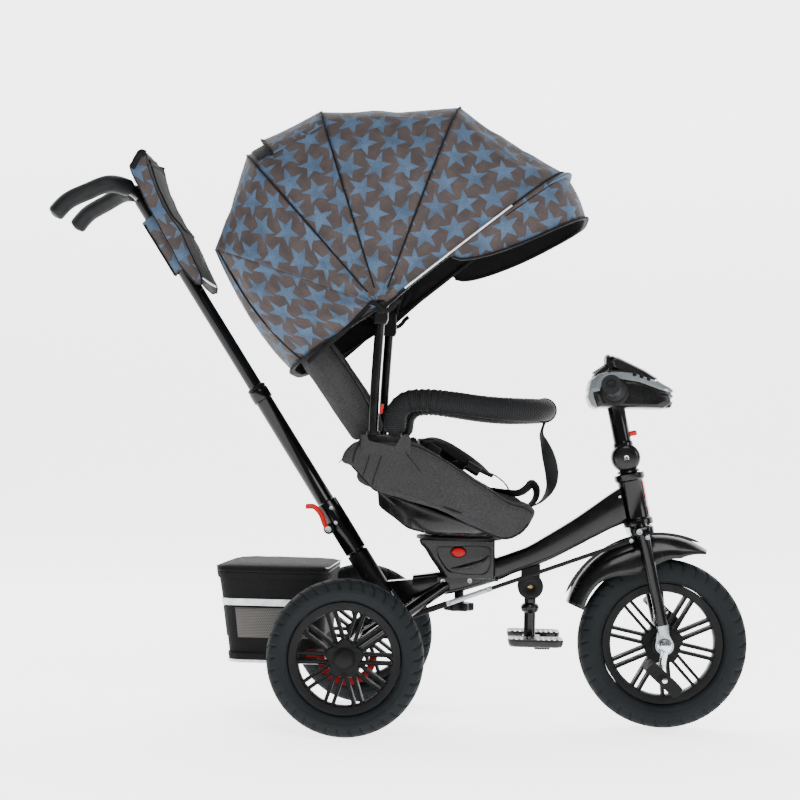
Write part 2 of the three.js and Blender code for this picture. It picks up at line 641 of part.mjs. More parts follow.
// ---------------------------------------------------------------- canopy
// A rib is a bow in a plane through the pivot line: reach r from that line, sideways y.
function bowPoint(reach, halfWidth, t) {
  const c = Math.cos(t);
  const s = Math.sin(t);
  const y = -halfWidth * Math.sign(c) * Math.abs(c) ** (2 / BOW_POWER);
  return [reach * Math.abs(s) ** (2 / BOW_POWER), y];
}

// Bow parameter for an even fraction v, closer together towards the two pivots.
function bowParameter(v, start = 0) {
  const eased = 0.5 - 0.5 * Math.cos(Math.PI * v);
  return start + (Math.PI - 2 * start) * eased;
}

function onRibPlane(angleDegrees, r, y, side = 0) {
  const angle = THREE.MathUtils.degToRad(angleDegrees);
  const x = HUB[0] + r * Math.cos(angle) - side * Math.sin(angle);
  return [x, y, HUB[1] + r * Math.sin(angle) + side * Math.cos(angle)];
}

const ribHalfWidth = (index) => RIB_INNER_Y + index * RIB_PITCH;

function rib({ angle, reach }, index) {
  const half = ribHalfWidth(index);
  const steps = 16;
  const eye = 9;
  const path = [[-eye, -half]];
  for (let i = 0; i <= steps; i++) path.push(bowPoint(reach, half, bowParameter(i / steps)));
  path.push([-eye, half]);
  const sections = path.map(([r, y], i) => {
    const [r0, y0] = path[Math.max(i - 1, 0)];
    const [r1, y1] = path[Math.min(i + 1, path.length - 1)];
    const length = Math.hypot(r1 - r0, y1 - y0);
    const [nr, ny] = [(-(y1 - y0) / length) * RIB_THICK / 2, ((r1 - r0) / length) * RIB_THICK / 2];
    const wide = r < 2 ? RIB_EYE_HALF : RIB_WIDTH / 2;
    return [[r + nr, y + ny, wide], [r + nr, y + ny, -wide], [r - nr, y - ny, -wide], [r - nr, y - ny, wide]]
      .map(([pr, py, across]) => onRibPlane(angle, pr, py, across));
  });
  const hole = rod([HUB[0], -half - 9, HUB[1]], [HUB[0], half + 9, HUB[1]], 3.2 + 2 * GAP, 8);
  return cut(loft(sections), hole);
}

// Cloth between two bows, from near the pivot on one side over to the other.
function clothBetween(from, to, { bulge = 0, rows = 2, columns = 16 } = {}) {
  const start = 0.0025 * Math.PI;
  const grid = [];
  for (let r = 0; r <= rows; r++) {
    const line = [];
    for (let c = 0; c <= columns; c++) {
      const t = bowParameter(c / columns, start);
      const onBow = ({ angle, reach, half, side = 0 }) => (
        new THREE.Vector3(...onRibPlane(angle, ...bowPoint(reach, half, t), side)));
      const [a, b] = [onBow(from), onBow(to)];
      const margin = 0.5 / a.distanceTo(b);
      const u = margin + (1 - 2 * margin) * (r / rows);
      const point = a.clone().lerp(b, u);
      const outward = new THREE.Vector3(point.x - HUB[0], 0, point.z - HUB[1]).normalize();
      point.addScaledVector(outward, bulge * Math.sin(Math.PI * u) * Math.sin(t));
      line.push(point.toArray());
    }
    grid.push(line);
  }
  return thickSheet(grid, FABRIC);
}

function canopy() {
  RIBS.forEach((item, index) => place(item.name, rib(item, index), SATIN_BLACK));
  const outermost = ribHalfWidth(RIBS.length - 1) + FABRIC_LIFT;
  const bows = RIBS.map(({ angle, reach }) => ({ angle, reach: reach + FABRIC_LIFT, half: outermost }));
  const names = ['canopy_panel_rear', 'canopy_panel_1', 'canopy_panel_2', 'canopy_panel_front'];
  names.forEach((name, i) => place(name, clothBetween(bows[i], bows[i + 1]), STAR_FABRIC));
  const hem = { ...HEM, half: outermost };
  place('canopy_drop_panel', clothBetween(hem, { ...bows[0], side: 4.5 }, { bulge: 10 }), STAR_FABRIC);
  place('canopy_visor', visor(bows[RIBS.length - 1]), STAR_FABRIC);
}

// The visor hangs forward of the front bow and dies away along its sides.
function visor(bow) {
  const [rows, columns] = [2, 16];
  const start = VISOR.start * Math.PI;
  const grid = [];
  for (let r = 0; r <= rows; r++) {
    const line = [];
    for (let c = 0; c <= columns; c++) {
      const t = start + ((Math.PI - 2 * start) * c) / columns;
      const [reach, y] = bowPoint(bow.reach, bow.half, t);
      const drop = VISOR.depth * Math.sin(Math.PI * (c + 1) / (columns + 2)) ** VISOR.fullness;
      const side = -0.5 - (drop * r) / rows;
      line.push(onRibPlane(bow.angle, reach - VISOR.curl * side * side, y, side));
    }
    grid.push(line);
  }
  return thickSheet(grid, FABRIC);
}

// ---------------------------------------------------------------- steered front
const CONSOLE_OUTLINE = [[391, 574], [399, 605], [426, 633], [440, 634], [486, 612], [536, 580], [533, 545],
  [500, 541], [407, 541]];
const front = new THREE.Group();
front.position.set(WHEELBASE, 0, FRONT_TYRE.radius);
front.rotation.y = -RAKE;
root.add(front);

// Turns a geometry laid out in the side view into the steered group's own frame.
function toFront(geometry) {
  geometry.translate(-WHEELBASE, 0, -FRONT_TYRE.radius);
  geometry.rotateY(RAKE);
  return geometry;
}

function fork() {
  const legs = [-1, 1].map((side) => {
    const y = side * FORK_HALF;
    const leg = rod([3, y, 12], [0, y, CROWN_LOW + 8], 9.5, 12);
    const tip = box(-10, 13, Math.min(y - 3.5 * side, y + 5 * side), Math.max(y - 3.5 * side, y + 5 * side), -14, 22);
    return joined(leg, tip);
  });
  const crown = box(-20, 20, -60, 60, CROWN_LOW, CROWN_LOW + 15);
  const steerer = rod([0, 0, CROWN_LOW + 4], [0, 0, KNUCKLE_HEIGHT - 26], HEAD.bore - GAP, 16);
  const bore = rod([0, -70, 0], [0, 70, 0], AXLE_RADIUS + GAP, 16);
  place('fork', cut(joined(crown, steerer, ...legs), bore), GLOSS_BLACK, front);
}

// The front mudguard: a deep skirt over the fork, shallower towards its two ends.
function fender() {
  const { first, last, middle, outer, half, skirt, deepSkirt } = FENDER;
  const [rows, columns] = [10, 8];
  const grid = [];
  for (let r = 0; r <= rows; r++) {
    const degrees = first + ((last - first) * r) / rows;
    const angle = THREE.MathUtils.degToRad(degrees);
    const depth = skirt + deepSkirt * Math.exp(-(((degrees - middle) / 20) ** 2));
    const line = [];
    for (let c = 0; c <= columns; c++) {
      const v = (2 * c) / columns - 1;
      const drop = depth * Math.abs(v) ** 3.4 + 4 * v * v;
      const ends = 8 * Math.abs((degrees - middle) / 46) ** 3;
      const y = half * Math.sign(v) * Math.min(1, Math.abs(v) * 1.15);
      line.push([(outer - drop - ends) * Math.cos(angle), y, (outer - drop - ends) * Math.sin(angle)]);
    }
    grid.push(line);
  }
  place('front_fender', thickSheet(grid, 2.5), GLOSS_BLACK, front);
}

function frontWheel() {
  const levelled = new THREE.Group();
  levelled.rotation.y = RAKE;
  front.add(levelled);
  place('front_tyre', tyre(FRONT_TYRE), TYRE_BLACK, levelled);
  place('front_rim', rim(FRONT_TYRE), RIM_BLACK, levelled);
}

const CRANK = { length: 48, y: 67, pedalY: 110, degrees: -100.6, pedalTilt: 42 };

function cranks() {
  const direction = THREE.MathUtils.degToRad(CRANK.degrees) - RAKE;
  const tip = [CRANK.length * Math.cos(direction), CRANK.length * Math.sin(direction)];
  const axle = rod([0, -CRANK.y, 0], [0, CRANK.y, 0], AXLE_RADIUS, 12);
  const sides = [-1, 1].flatMap((side) => {
    const [x, z] = [-side * tip[0], -side * tip[1]];
    const arm = rod([0, side * CRANK.y, 0], [x, side * CRANK.y, z], AXLE_RADIUS, 8);
    const knee = rod([0, side * (CRANK.y - 6), 0], [0, side * (CRANK.y + 6), 0], 9, 12);
    const toe = rod([x, side * (CRANK.y - 6), z], [x, side * (CRANK.y + 6), z], 8, 12);
    const pin = rod([x, side * CRANK.y, z], [x, side * 148, z], 4.5, 8);
    return [arm, knee, toe, pin];
  });
  place('crank_axle', joined(axle, ...sides), CHROME, front);
  for (const [name, side] of [['pedal_left', 1], ['pedal_right', -1]]) {
    const [x, z] = [-side * tip[0], -side * tip[1]];
    const block = sidePlate([[-34, -7], [-30, -11], [30, -11], [34, -7], [34, 7], [30, 11], [-30, 11], [-34, 7]], 64);
    const hole = rod([0, -60, 0], [0, 60, 0], 4.5 + GAP, 12);
    const pedal = cut(block, hole);
    pedal.rotateY(THREE.MathUtils.degToRad(CRANK.pedalTilt) + RAKE);
    pedal.translate(x, side * CRANK.pedalY, z);
    place(name, pedal, SATIN_BLACK, front);
  }
}

function handlebar() {
  const knuckle = rod([0, -17, KNUCKLE_HEIGHT], [0, 17, KNUCKLE_HEIGHT], 25, 28);
  const stem = rod([0, 0, KNUCKLE_HEIGHT], [0, 0, BAR_HEIGHT], 15, 20);
  const half = [[-20, 164, -2], [-14, 130, -1], [-7, 95, 0], [-1, 55, 0], [0, 20, 0]].map(([x, y, dz]) => (
    [x, y, BAR_HEIGHT + dz]));
  const barPoints = [...half, ...half.slice().reverse().map(([x, y, z]) => [x, -y, z])];
  const crossbar = bentTube(barPoints, 9, { sides: 8, steps: 16 });
  const pocket = rod([8, 0, STEM_BUTTON_HEIGHT], [30, 0, STEM_BUTTON_HEIGHT], 6.5, 14);
  place('handlebar', cut(joined(knuckle, stem, crossbar), pocket), SATIN_BLACK, front);
  place('stem_button', rod([12.4, 0, STEM_BUTTON_HEIGHT], [19, 0, STEM_BUTTON_HEIGHT], 6, 14), RED, front);
  for (const [name, side] of [['hand_grip_left', 1], ['hand_grip_right', -1]]) {
    const points = half.slice(0, 4).map(([x, y, z]) => [x, side * y, z]);
    place(name, bentTube(points, 14, { bore: 9 + 2 * GAP, sides: 12, steps: 5 }), FOAM, front);
  }
  const shell = toFront(sidePlate(CONSOLE_OUTLINE, 92, 0, 10));
  const stemRoom = rod([0, 0, 380], [0, 0, BAR_HEIGHT + 12], 15 + GAP, 20);
  const barRoom = rod([0, -60, BAR_HEIGHT], [0, 60, BAR_HEIGHT], 10.5, 16);
  place('handlebar_console', cut(shell, stemRoom, barRoom), SILVER, front);
}

// ---------------------------------------------------------------- assembly
rearWheels();
mainBeam();
rearFrame();
headTube();
pedestal();
frameKnob();
footrest();
brake();
basket();
steeringLink();
pushHandle();
poleBag();
seatWings();
seatCushion();
seatTub();
backrest();
seatSockets();
bumperBar();
straps();
canopy();
fork();
fender();
frontWheel();
cranks();
handlebar();

export default root;
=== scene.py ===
"""The looks of a children's tricycle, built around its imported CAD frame. Metres, in the frame's own axes."""

import json
import math

import bmesh
import bpy
from mathutils import Matrix, Vector, noise
from mathutils.bvhtree import BVHTree


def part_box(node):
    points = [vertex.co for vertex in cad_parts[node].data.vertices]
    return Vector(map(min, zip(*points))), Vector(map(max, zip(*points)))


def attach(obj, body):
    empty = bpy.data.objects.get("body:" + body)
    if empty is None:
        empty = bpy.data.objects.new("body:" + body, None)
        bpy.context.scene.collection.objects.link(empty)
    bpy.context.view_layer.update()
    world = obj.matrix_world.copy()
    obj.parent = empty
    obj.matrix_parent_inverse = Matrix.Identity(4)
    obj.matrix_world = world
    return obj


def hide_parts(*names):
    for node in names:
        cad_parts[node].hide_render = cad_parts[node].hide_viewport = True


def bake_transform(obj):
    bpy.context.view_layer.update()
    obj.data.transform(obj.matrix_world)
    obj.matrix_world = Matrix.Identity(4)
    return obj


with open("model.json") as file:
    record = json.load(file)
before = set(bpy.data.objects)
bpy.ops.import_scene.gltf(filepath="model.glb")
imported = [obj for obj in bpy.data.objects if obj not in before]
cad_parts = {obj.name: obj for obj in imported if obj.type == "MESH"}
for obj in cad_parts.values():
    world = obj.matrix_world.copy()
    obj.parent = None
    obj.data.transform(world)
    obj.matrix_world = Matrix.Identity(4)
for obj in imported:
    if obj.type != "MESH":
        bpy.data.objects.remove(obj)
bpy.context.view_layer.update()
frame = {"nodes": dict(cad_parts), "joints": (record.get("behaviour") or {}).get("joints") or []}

# ------------------------------------------------------------------ places, from the frame
MM = 0.001
JOINTS = {joint["name"]: joint for joint in frame["joints"]}


def pivot(joint):
    return Vector(JOINTS[joint]["pos_m"])


REAR = pivot("rear_wheel_left_spin")
FRONT = pivot("front_wheel_spin")
HUB = pivot("canopy_fold_1")
POLE_FOOT = pivot("push_handle_twist")
RECLINER = pivot("backrest_recline")
STEER_AXIS = Vector(JOINTS["steering_turn"]["axis"])
POLE_AXIS = Vector(JOINTS["push_handle_twist"]["axis"])
RECLINE = math.radians(35.7)
SIDES = (("left", 1), ("right", -1))


def at(x, y, z):
    """A point in millimetres: x forward of the rear axle, y to the rider's left, z above the ground."""
    return Vector((REAR.x + x * MM, y * MM, z * MM))


def on_pole(s, offset=0, y=0):
    """A point s mm up the push pole's axis, and offset mm forward of it."""
    forward = Vector((POLE_AXIS.z, 0, -POLE_AXIS.x))
    return POLE_FOOT + POLE_AXIS * s * MM + forward * offset * MM + Vector((0, y * MM, 0))


def on_fork(x, y, z):
    """A point in mm in the steered group's axes, measured from the front axle."""
    forward = Vector((STEER_AXIS.z, 0, -STEER_AXIS.x))
    return FRONT + forward * x * MM + Vector((0, y * MM, 0)) + STEER_AXIS * z * MM


def on_back(s, n, y):
    """A point s mm up the backrest and n mm towards the child."""
    sin, cos = math.sin(RECLINE), math.cos(RECLINE)
    return RECLINER + Vector((-s * sin + n * cos, y, s * cos + n * sin)) * MM


def on_rib(angle, reach, y, side=0):
    """A point in a canopy rib's plane: reach and y in mm, and side mm out of the plane."""
    a = math.radians(angle)
    out = Vector((math.cos(a), 0, math.sin(a)))
    across = Vector((-math.sin(a), 0, math.cos(a)))
    return HUB + (out * reach + across * side + Vector((0, y, 0))) * MM


# ------------------------------------------------------------------ materials
def srgb(red, green, blue):
    """A colour given as 0 to 255 in sRGB, as linear values."""
    def linear(value):
        value /= 255
        return value / 12.92 if value <= 0.04045 else ((value + 0.055) / 1.055) ** 2.4
    return (linear(red), linear(green), linear(blue), 1)


class Finish:
    """A Principled material, with short ways to add nodes to it."""

    def __init__(self, name, color, roughness, **constants):
        self.material = bpy.data.materials.new(name)
        self.material.use_nodes = True
        self.tree = self.material.node_tree
        self.shader = self.tree.nodes["Principled BSDF"]
        self.set("Base Color", color)
        self.set("Roughness", roughness)
        for key, value in constants.items():
            self.set(key.replace("_", " ").title().replace("Ior", "IOR"), value)
        self.material.diffuse_color = color
        self.color = color

    def set(self, name, value):
        self.shader.inputs[name].default_value = value

    def node(self, kind, inputs=None, **settings):
        made = self.tree.nodes.new("ShaderNode" + kind)
        for key, value in settings.items():
            setattr(made, key, value)
        for key, value in (inputs or {}).items():
            if isinstance(value, bpy.types.NodeSocket):
                self.tree.links.new(value, made.inputs[key])
            else:
                made.inputs[key].default_value = value
        return made

    def drive(self, name, value):
        self.tree.links.new(value, self.shader.inputs[name])

    def math(self, operation, a, b=0.0, c=0.0, clamp=False):
        return self.node("Math", {0: a, 1: b, 2: c}, operation=operation, use_clamp=clamp).outputs[0]

    def place(self):
        return self.node("TexCoord").outputs["Object"]

    def laid(self):
        """Where a point lies on the cloth, in metres along its two threads."""
        return self.node("Attribute", attribute_name="cloth").outputs["Vector"]

    def noise(self, scale, detail=2.0, vector=None, stretch=None):
        vector = vector or self.place()
        if stretch:
            vector = self.node("Mapping", {"Vector": vector, "Scale": stretch}).outputs[0]
        settings = {"Vector": vector, "Scale": scale, "Detail": detail}
        return self.node("TexNoise", settings).outputs["Fac"]

    def span(self, value, low, high, to_low, to_high):
        settings = {"Value": value, "From Min": low, "From Max": high, "To Min": to_low, "To Max": to_high}
        return self.node("MapRange", settings).outputs[0]

    def mix(self, factor, a, b):
        made = self.node("Mix", data_type="RGBA")
        for index, value in ((0, factor), (6, a), (7, b)):
            if isinstance(value, bpy.types.NodeSocket):
                self.tree.links.new(value, made.inputs[index])
            else:
                made.inputs[index].default_value = value
        return made.outputs[2]

    def bump(self, height, distance, normal=None):
        inputs = {"Height": height, "Distance": distance, "Strength": 1.0}
        if normal:
            inputs["Normal"] = normal
        return self.node("Bump", inputs).outputs[0]


def lighter(color, factor):
    return (*[min(1, channel * factor) for channel in color[:3]], 1)


def painted(name, color, roughness, peel=0.00002):
    """Powder coat or gloss paint: orange peel, faint handling marks and worn edges."""
    f = Finish(name, color, roughness, coat_weight=0.12, coat_roughness=0.06, specular_ior_level=0.2)
    marks = f.noise(28, 5)
    f.drive("Roughness", f.span(marks, 0.35, 0.7, roughness * 0.75, roughness * 1.5))
    worn = f.span(f.node("NewGeometry").outputs["Pointiness"], 0.54, 0.62, 0, 0.5)
    speck = f.math("MULTIPLY", worn, f.span(f.noise(220, 3), 0.45, 0.6, 0, 1))
    f.drive("Base Color", f.mix(speck, color, lighter(color, 5)))
    f.drive("Normal", f.bump(f.noise(650, 1), peel))
    return f.material


def moulded(name, color, roughness, grain=0.00005):
    """Moulded plastic: a fine sparked grain, cloudy gloss and rubbed edges."""
    f = Finish(name, color, roughness, specular_ior_level=0.14)
    f.drive("Roughness", f.span(f.noise(35, 4), 0.3, 0.7, roughness - 0.08, roughness + 0.12))
    rubbed = f.span(f.node("NewGeometry").outputs["Pointiness"], 0.53, 0.6, 0, 0.45)
    cloud = f.mix(f.span(f.noise(60, 3), 0.35, 0.7, 0, 0.35), color, lighter(color, 1.5))
    f.drive("Base Color", f.mix(rubbed, cloud, lighter(color, 2.4)))
    f.drive("Normal", f.bump(f.noise(1600, 3), grain))
    return f.material


def tyre_rubber():
    f = Finish("tyre_rubber", srgb(17, 20, 22), 0.6, specular_ior_level=0.14)
    dust = f.span(f.noise(22, 6), 0.42, 0.72, 0, 0.55)
    cloud = f.mix(dust, srgb(15, 19, 21), srgb(27, 31, 33))
    fine = f.span(f.noise(900, 2), 0.3, 0.7, 0, 0.3)
    f.drive("Base Color", f.mix(fine, cloud, srgb(10, 12, 13)))
    f.drive("Roughness", f.span(dust, 0, 0.55, 0.6, 0.85))
    f.drive("Normal", f.bump(f.noise(1200, 3), 0.00008))
    return f.material


def bright_metal(name, color, roughness, brushed=(1, 1, 1)):
    f = Finish(name, color, roughness, metallic=1.0)
    streaks = f.noise(180, 4, stretch=brushed)
    f.drive("Roughness", f.span(streaks, 0.3, 0.7, roughness * 0.6, roughness * 1.7))
    tarnish = f.span(f.noise(40, 5), 0.5, 0.8, 0, 0.4)
    f.drive("Base Color", f.mix(tarnish, color, lighter(color, 0.6)))
    f.drive("Normal", f.bump(streaks, 0.00001))
    return f.material


def foam(name, color):
    """Closed-cell foam: open pores over a soft uneven skin."""
    f = Finish(name, color, 0.7, specular_ior_level=0.2)
    cells = f.node("TexVoronoi", {"Vector": f.place(), "Scale": 900.0}).outputs["Distance"]
    f.drive("Base Color", f.mix(f.span(cells, 0.1, 0.6, 0, 1), lighter(color, 0.5), lighter(color, 1.5)))
    f.drive("Roughness", f.span(f.noise(50, 3), 0.3, 0.7, 0.45, 0.7))
    f.drive("Normal", f.bump(f.noise(45, 3), 0.0004, f.bump(cells, 0.0001)))
    return f.material


def threads(f, vector, pitch):
    """The height of a plain weave: two sets of threads that pass over each other in turn."""
    split = f.node("SeparateXYZ", {0: vector})
    along = f.math("MULTIPLY", split.outputs[0], math.pi / pitch)
    across = f.math("MULTIPLY", split.outputs[1], math.pi / pitch)
    return f.math("MULTIPLY", f.math("SINE", along), f.math("SINE", across))


def melange(name, dark, light):
    """Woven melange: dark and pale threads mixed at random, with soft shading between them."""
    f = Finish(name, dark, 0.92, specular_ior_level=0.2)
    point = f.place()
    slub = f.noise(300, 4, point, (1, 1, 3.2))
    fleck = f.noise(1100, 2, point)
    blend = f.math("ADD", f.span(slub, 0.35, 0.68, 0, 0.6), f.span(fleck, 0.4, 0.65, 0, 0.4))
    patch = f.span(f.noise(9, 3, point), 0.3, 0.7, 0.8, 1.0)
    f.drive("Base Color", f.mix(f.math("MULTIPLY", blend, patch), dark, light))
    f.drive("Roughness", f.span(fleck, 0.3, 0.7, 0.84, 0.98))
    weave = threads(f, point, 0.0011)
    rough = f.bump(f.noise(420, 3, point), 0.00035, f.bump(weave, 0.00012))
    f.drive("Normal", f.bump(f.noise(24, 3, point), 0.0012, rough))
    return f.material


STAR = {"column": 0.0415, "row": 0.0475, "radius": 0.0246, "notch": 0.40}


def star_mask(f, x, y, column_shift, row_shift):
    """One where a five-pointed star of the print lies, in every second column of stars."""
    def cell(value, shift, size):
        shifted = f.math("DIVIDE", f.math("ADD", value, shift), size)
        local = f.math("SUBTRACT", f.math("FRACT", shifted), 0.5)
        return f.math("MULTIPLY", local, size / STAR["radius"])
    across = cell(x, column_shift, 2 * STAR["column"])
    up = f.math("ADD", cell(y, row_shift, STAR["row"]), 0.095)
    angle = f.math("PINGPONG", f.math("ARCTAN2", across, up), math.pi / 5)
    length = f.math("SQRT", f.math("ADD", f.math("MULTIPLY", across, across), f.math("MULTIPLY", up, up)))
    tip_side = f.math("MULTIPLY", length, f.math("COSINE", angle))
    notch_side = f.math("MULTIPLY", length, f.math("SINE", angle))
    notch = Vector((STAR["notch"] * math.cos(math.pi / 5), STAR["notch"] * math.sin(math.pi / 5)))
    edge = (notch - Vector((1, 0))).normalized()
    outside = f.math("ADD", f.math("MULTIPLY", f.math("SUBTRACT", tip_side, 1.0), edge.y),
                     f.math("MULTIPLY", notch_side, -edge.x))
    return f.span(outside, -0.02, 0.02, 1, 0)


def star_cloth():
    """Taupe polyester printed with slate-blue stars, in a tight plain weave."""
    f = Finish("star_cloth", srgb(70, 60, 57), 0.7, specular_ior_level=0.25)
    laid = f.laid()
    wobble = f.node("VectorMath", {0: f.node("TexNoise", {"Vector": laid, "Scale": 25.0}).outputs["Color"],
                                   "Scale": 0.0025}, operation="SCALE").outputs[0]
    drawn = f.node("VectorMath", {0: laid, 1: wobble}, operation="ADD").outputs[0]
    split = f.node("SeparateXYZ", {0: drawn})
    x, y = split.outputs[0], split.outputs[1]
    near = star_mask(f, x, y, 0.0, 0.0)
    far = star_mask(f, x, y, STAR["column"], STAR["row"] / 2)
    stars = f.math("MAXIMUM", near, far)
    print_fade = f.span(f.noise(60, 4, laid), 0.3, 0.7, 0.82, 1.0)
    ground = f.mix(f.span(f.noise(35, 4, laid), 0.35, 0.65, 0, 1), srgb(46, 39, 38), srgb(60, 51, 49))
    ink = f.mix(f.span(f.noise(30, 3, laid), 0.35, 0.65, 0, 1), srgb(46, 66, 88), srgb(62, 84, 108))
    dyed = f.mix(f.math("MULTIPLY", stars, print_fade), ground, ink)
    weft = f.noise(700, 2, laid, (0.35, 1, 1))
    f.drive("Base Color", f.mix(f.span(weft, 0.4, 0.7, 0, 0.35), dyed, srgb(38, 37, 40)))
    f.drive("Roughness", f.span(weft, 0.3, 0.7, 0.55, 0.8))
    creases = f.noise(14, 4, laid, (1, 0.45, 1))
    f.drive("Normal", f.bump(creases, 0.004, f.bump(threads(f, laid, 0.0009), 0.00006)))
    return f.material


def webbing(name, color, pitch=0.0016):
    """Woven strap or plain black cloth: ribs across, slightly shiny threads."""
    f = Finish(name, color, 0.75, specular_ior_level=0.14)
    point = f.place()
    weave = threads(f, point, pitch)
    other = f.noise(500, 3, point, (1, 2.5, 1))
    f.drive("Base Color", f.mix(f.span(other, 0.35, 0.7, 0, 0.8), color, lighter(color, 2.0)))
    f.drive("Roughness", f.span(other, 0.3, 0.7, 0.6, 0.9))
    f.drive("Normal", f.bump(other, 0.0002, f.bump(weave, 0.00015)))
    return f.material


def air_mesh(name, base, hole, pitch):
    """Knitted spacer mesh: staggered rows of small holes."""
    f = Finish(name, base, 0.8, specular_ior_level=0.15)
    laid = f.laid()
    split = f.node("SeparateXYZ", {0: laid})
    row = f.math("DIVIDE", split.outputs[1], pitch)
    shift = f.math("MULTIPLY", f.math("MODULO", f.math("FLOOR", row), 2.0), 0.5)
    column = f.math("ADD", f.math("DIVIDE", split.outputs[0], pitch * 1.3), shift)
    across = f.math("SUBTRACT", f.math("FRACT", column), 0.5)
    up = f.math("SUBTRACT", f.math("FRACT", row), 0.5)
    far = f.math("SQRT", f.math("ADD", f.math("MULTIPLY", across, across), f.math("MULTIPLY", up, up)))
    ridge = f.span(far, 0.2, 0.42, 0, 1)
    f.drive("Base Color", f.mix(ridge, hole, base))
    f.drive("Roughness", f.span(ridge, 0, 1, 0.95, 0.6))
    f.drive("Normal", f.bump(ridge, 0.0006))
    return f.material


def reflective():
    """Silver retro-reflective tape: glass-bead grain between sewn edges."""
    f = Finish("reflective_tape", srgb(196, 200, 202), 0.42, metallic=0.35)
    beads = f.node("TexVoronoi", {"Vector": f.place(), "Scale": 1400.0}).outputs["Distance"]
    crease = f.noise(60, 4)
    f.drive("Base Color", f.mix(f.span(crease, 0.35, 0.7, 0, 1), srgb(172, 178, 182), srgb(222, 226, 226)))
    f.drive("Roughness", f.span(crease, 0.3, 0.7, 0.32, 0.55))
    f.drive("Normal", f.bump(beads, 0.00008))
    return f.material


def lens(name, color):
    f = Finish(name, color, 0.08, coat_weight=1.0)
    facets = f.node("TexVoronoi", {"Vector": f.place(), "Scale": 330.0}).outputs["Distance"]
    f.drive("Base Color", f.mix(f.span(facets, 0.1, 0.6, 0, 0.7), color, lighter(color, 0.4)))
    f.drive("Roughness", f.span(f.noise(80, 3), 0.3, 0.7, 0.05, 0.2))
    f.drive("Normal", f.bump(facets, 0.0004))
    return f.material


GLOSS_BLACK = painted("gloss_black_paint", srgb(5, 5, 6), 0.16)
GLOSS_PLASTIC = painted("gloss_black_plastic", srgb(7, 7, 8), 0.24, 0.000008)
SATIN_BLACK = moulded("satin_black_plastic", srgb(6, 6, 7), 0.4)
MATT_BLACK = moulded("matt_black_plastic", srgb(9, 10, 11), 0.5, 0.00009)
RED_PLASTIC = moulded("red_plastic", srgb(150, 8, 12), 0.35, 0.00002)
SILVER_PAINT = painted("silver_paint", srgb(92, 97, 100), 0.26)
TYRE_RUBBER = tyre_rubber()
CHROME = bright_metal("chrome_plate", srgb(190, 194, 198), 0.12)
ZINC = bright_metal("zinc_plate", srgb(150, 156, 160), 0.28, (4, 4, 1))
BLACK_FOAM = foam("black_foam", srgb(7, 9, 10))
GREY_CLOTH = melange("grey_melange_cloth", srgb(26, 26, 27), srgb(56, 56, 57))
STAR_CLOTH = star_cloth()
DARK_UNDERSIDE = webbing("near_black_underside", srgb(10, 10, 11), 0.0012)
# Near-black cloth for the inner faces of the canopy panels, visor and vent flap, darker than their printed
# outer faces.
WEBBING = webbing("black_webbing", srgb(7, 7, 8))
GREY_WEBBING = webbing("grey_webbing", srgb(24, 25, 26))
PIPING = webbing("black_piping", srgb(7, 7, 8), 0.0009)
BAR_MESH = air_mesh("bar_mesh", srgb(18, 19, 20), srgb(2, 2, 3), 0.0036)
WINDOW_MESH = air_mesh("window_mesh", srgb(92, 90, 88), srgb(34, 33, 32), 0.0026)
REFLECTIVE = reflective()
RED_LENS = lens("red_lens", srgb(170, 12, 16))
CLEAR_LENS = lens("clear_lens", srgb(170, 176, 180))
BRASS = bright_metal("brass_rivet", srgb(150, 116, 62), 0.3)


# ------------------------------------------------------------------ mesh tools
def piece(name, points, faces, material, body=None, *, replaces=(), slot=None, smooth=35, bevel=0.0,
          subdivide=0, laid=None, extra=()):
    """A mesh object that rides on a body. laid gives each face corner's place on the cloth, in metres."""
    mesh = bpy.data.meshes.new(name)
    mesh.from_pydata([tuple(point) for point in points], [], faces)
    if laid:
        values = [value for corner in laid for value in (*corner, 0.0)]
        values += [0.0] * (3 * len(mesh.loops) - len(values))
        mesh.attributes.new("cloth", "FLOAT_VECTOR", "CORNER").data.foreach_set("vector", values)
    edit = bmesh.new()
    edit.from_mesh(mesh)
    bmesh.ops.remove_doubles(edit, verts=edit.verts, dist=0.000002)
    bmesh.ops.recalc_face_normals(edit, faces=edit.faces)
    edit.to_mesh(mesh)
    edit.free()
    mesh.shade_smooth()
    if not subdivide:
        mesh.set_sharp_from_angle(angle=math.radians(smooth))
    for used in (material, *extra):
        mesh.materials.append(used)
    obj = bpy.data.objects.new(name, mesh)
    bpy.context.scene.collection.objects.link(obj)
    if bevel:
        rounding = obj.modifiers.new("edges", "BEVEL")
        rounding.width = bevel
        rounding.segments = 2
        rounding.limit_method = "ANGLE"
        rounding.angle_limit = math.radians(30)
        rounding.harden_normals = True
    if subdivide:
        finer = obj.modifiers.new("surface", "SUBSURF")
        finer.levels = finer.render_levels = subdivide
    if body:
        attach(obj, body)
    if replaces:
        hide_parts(*replaces)
    return obj


def skin(loops, around=True, along=False, caps=True):
    """Points and faces between equal rows of points."""
    count, rows = len(loops[0]), len(loops)
    points = [point for loop in loops for point in loop]
    faces = []
    for row in range(rows if along else rows - 1):
        ahead = ((row + 1) % rows) * count
        for column in range(count if around else count - 1):
            beside = (column + 1) % count
            faces.append((row * count + column, row * count + beside, ahead + beside, ahead + column))
    if caps and around and not along:
        faces.append(tuple(reversed(range(count))))
        faces.append(tuple(range((rows - 1) * count, rows * count)))
    return points, faces


def laid_on(rows, columns, place):
    """The cloth places of a skin's face corners. place takes a row and a column."""
    corners = []
    for row in range(rows):
        for column in range(columns):
            for r, c in ((row, column), (row, column + 1), (row + 1, column + 1), (row + 1, column)):
                corners.append(place(r, c))
    return corners


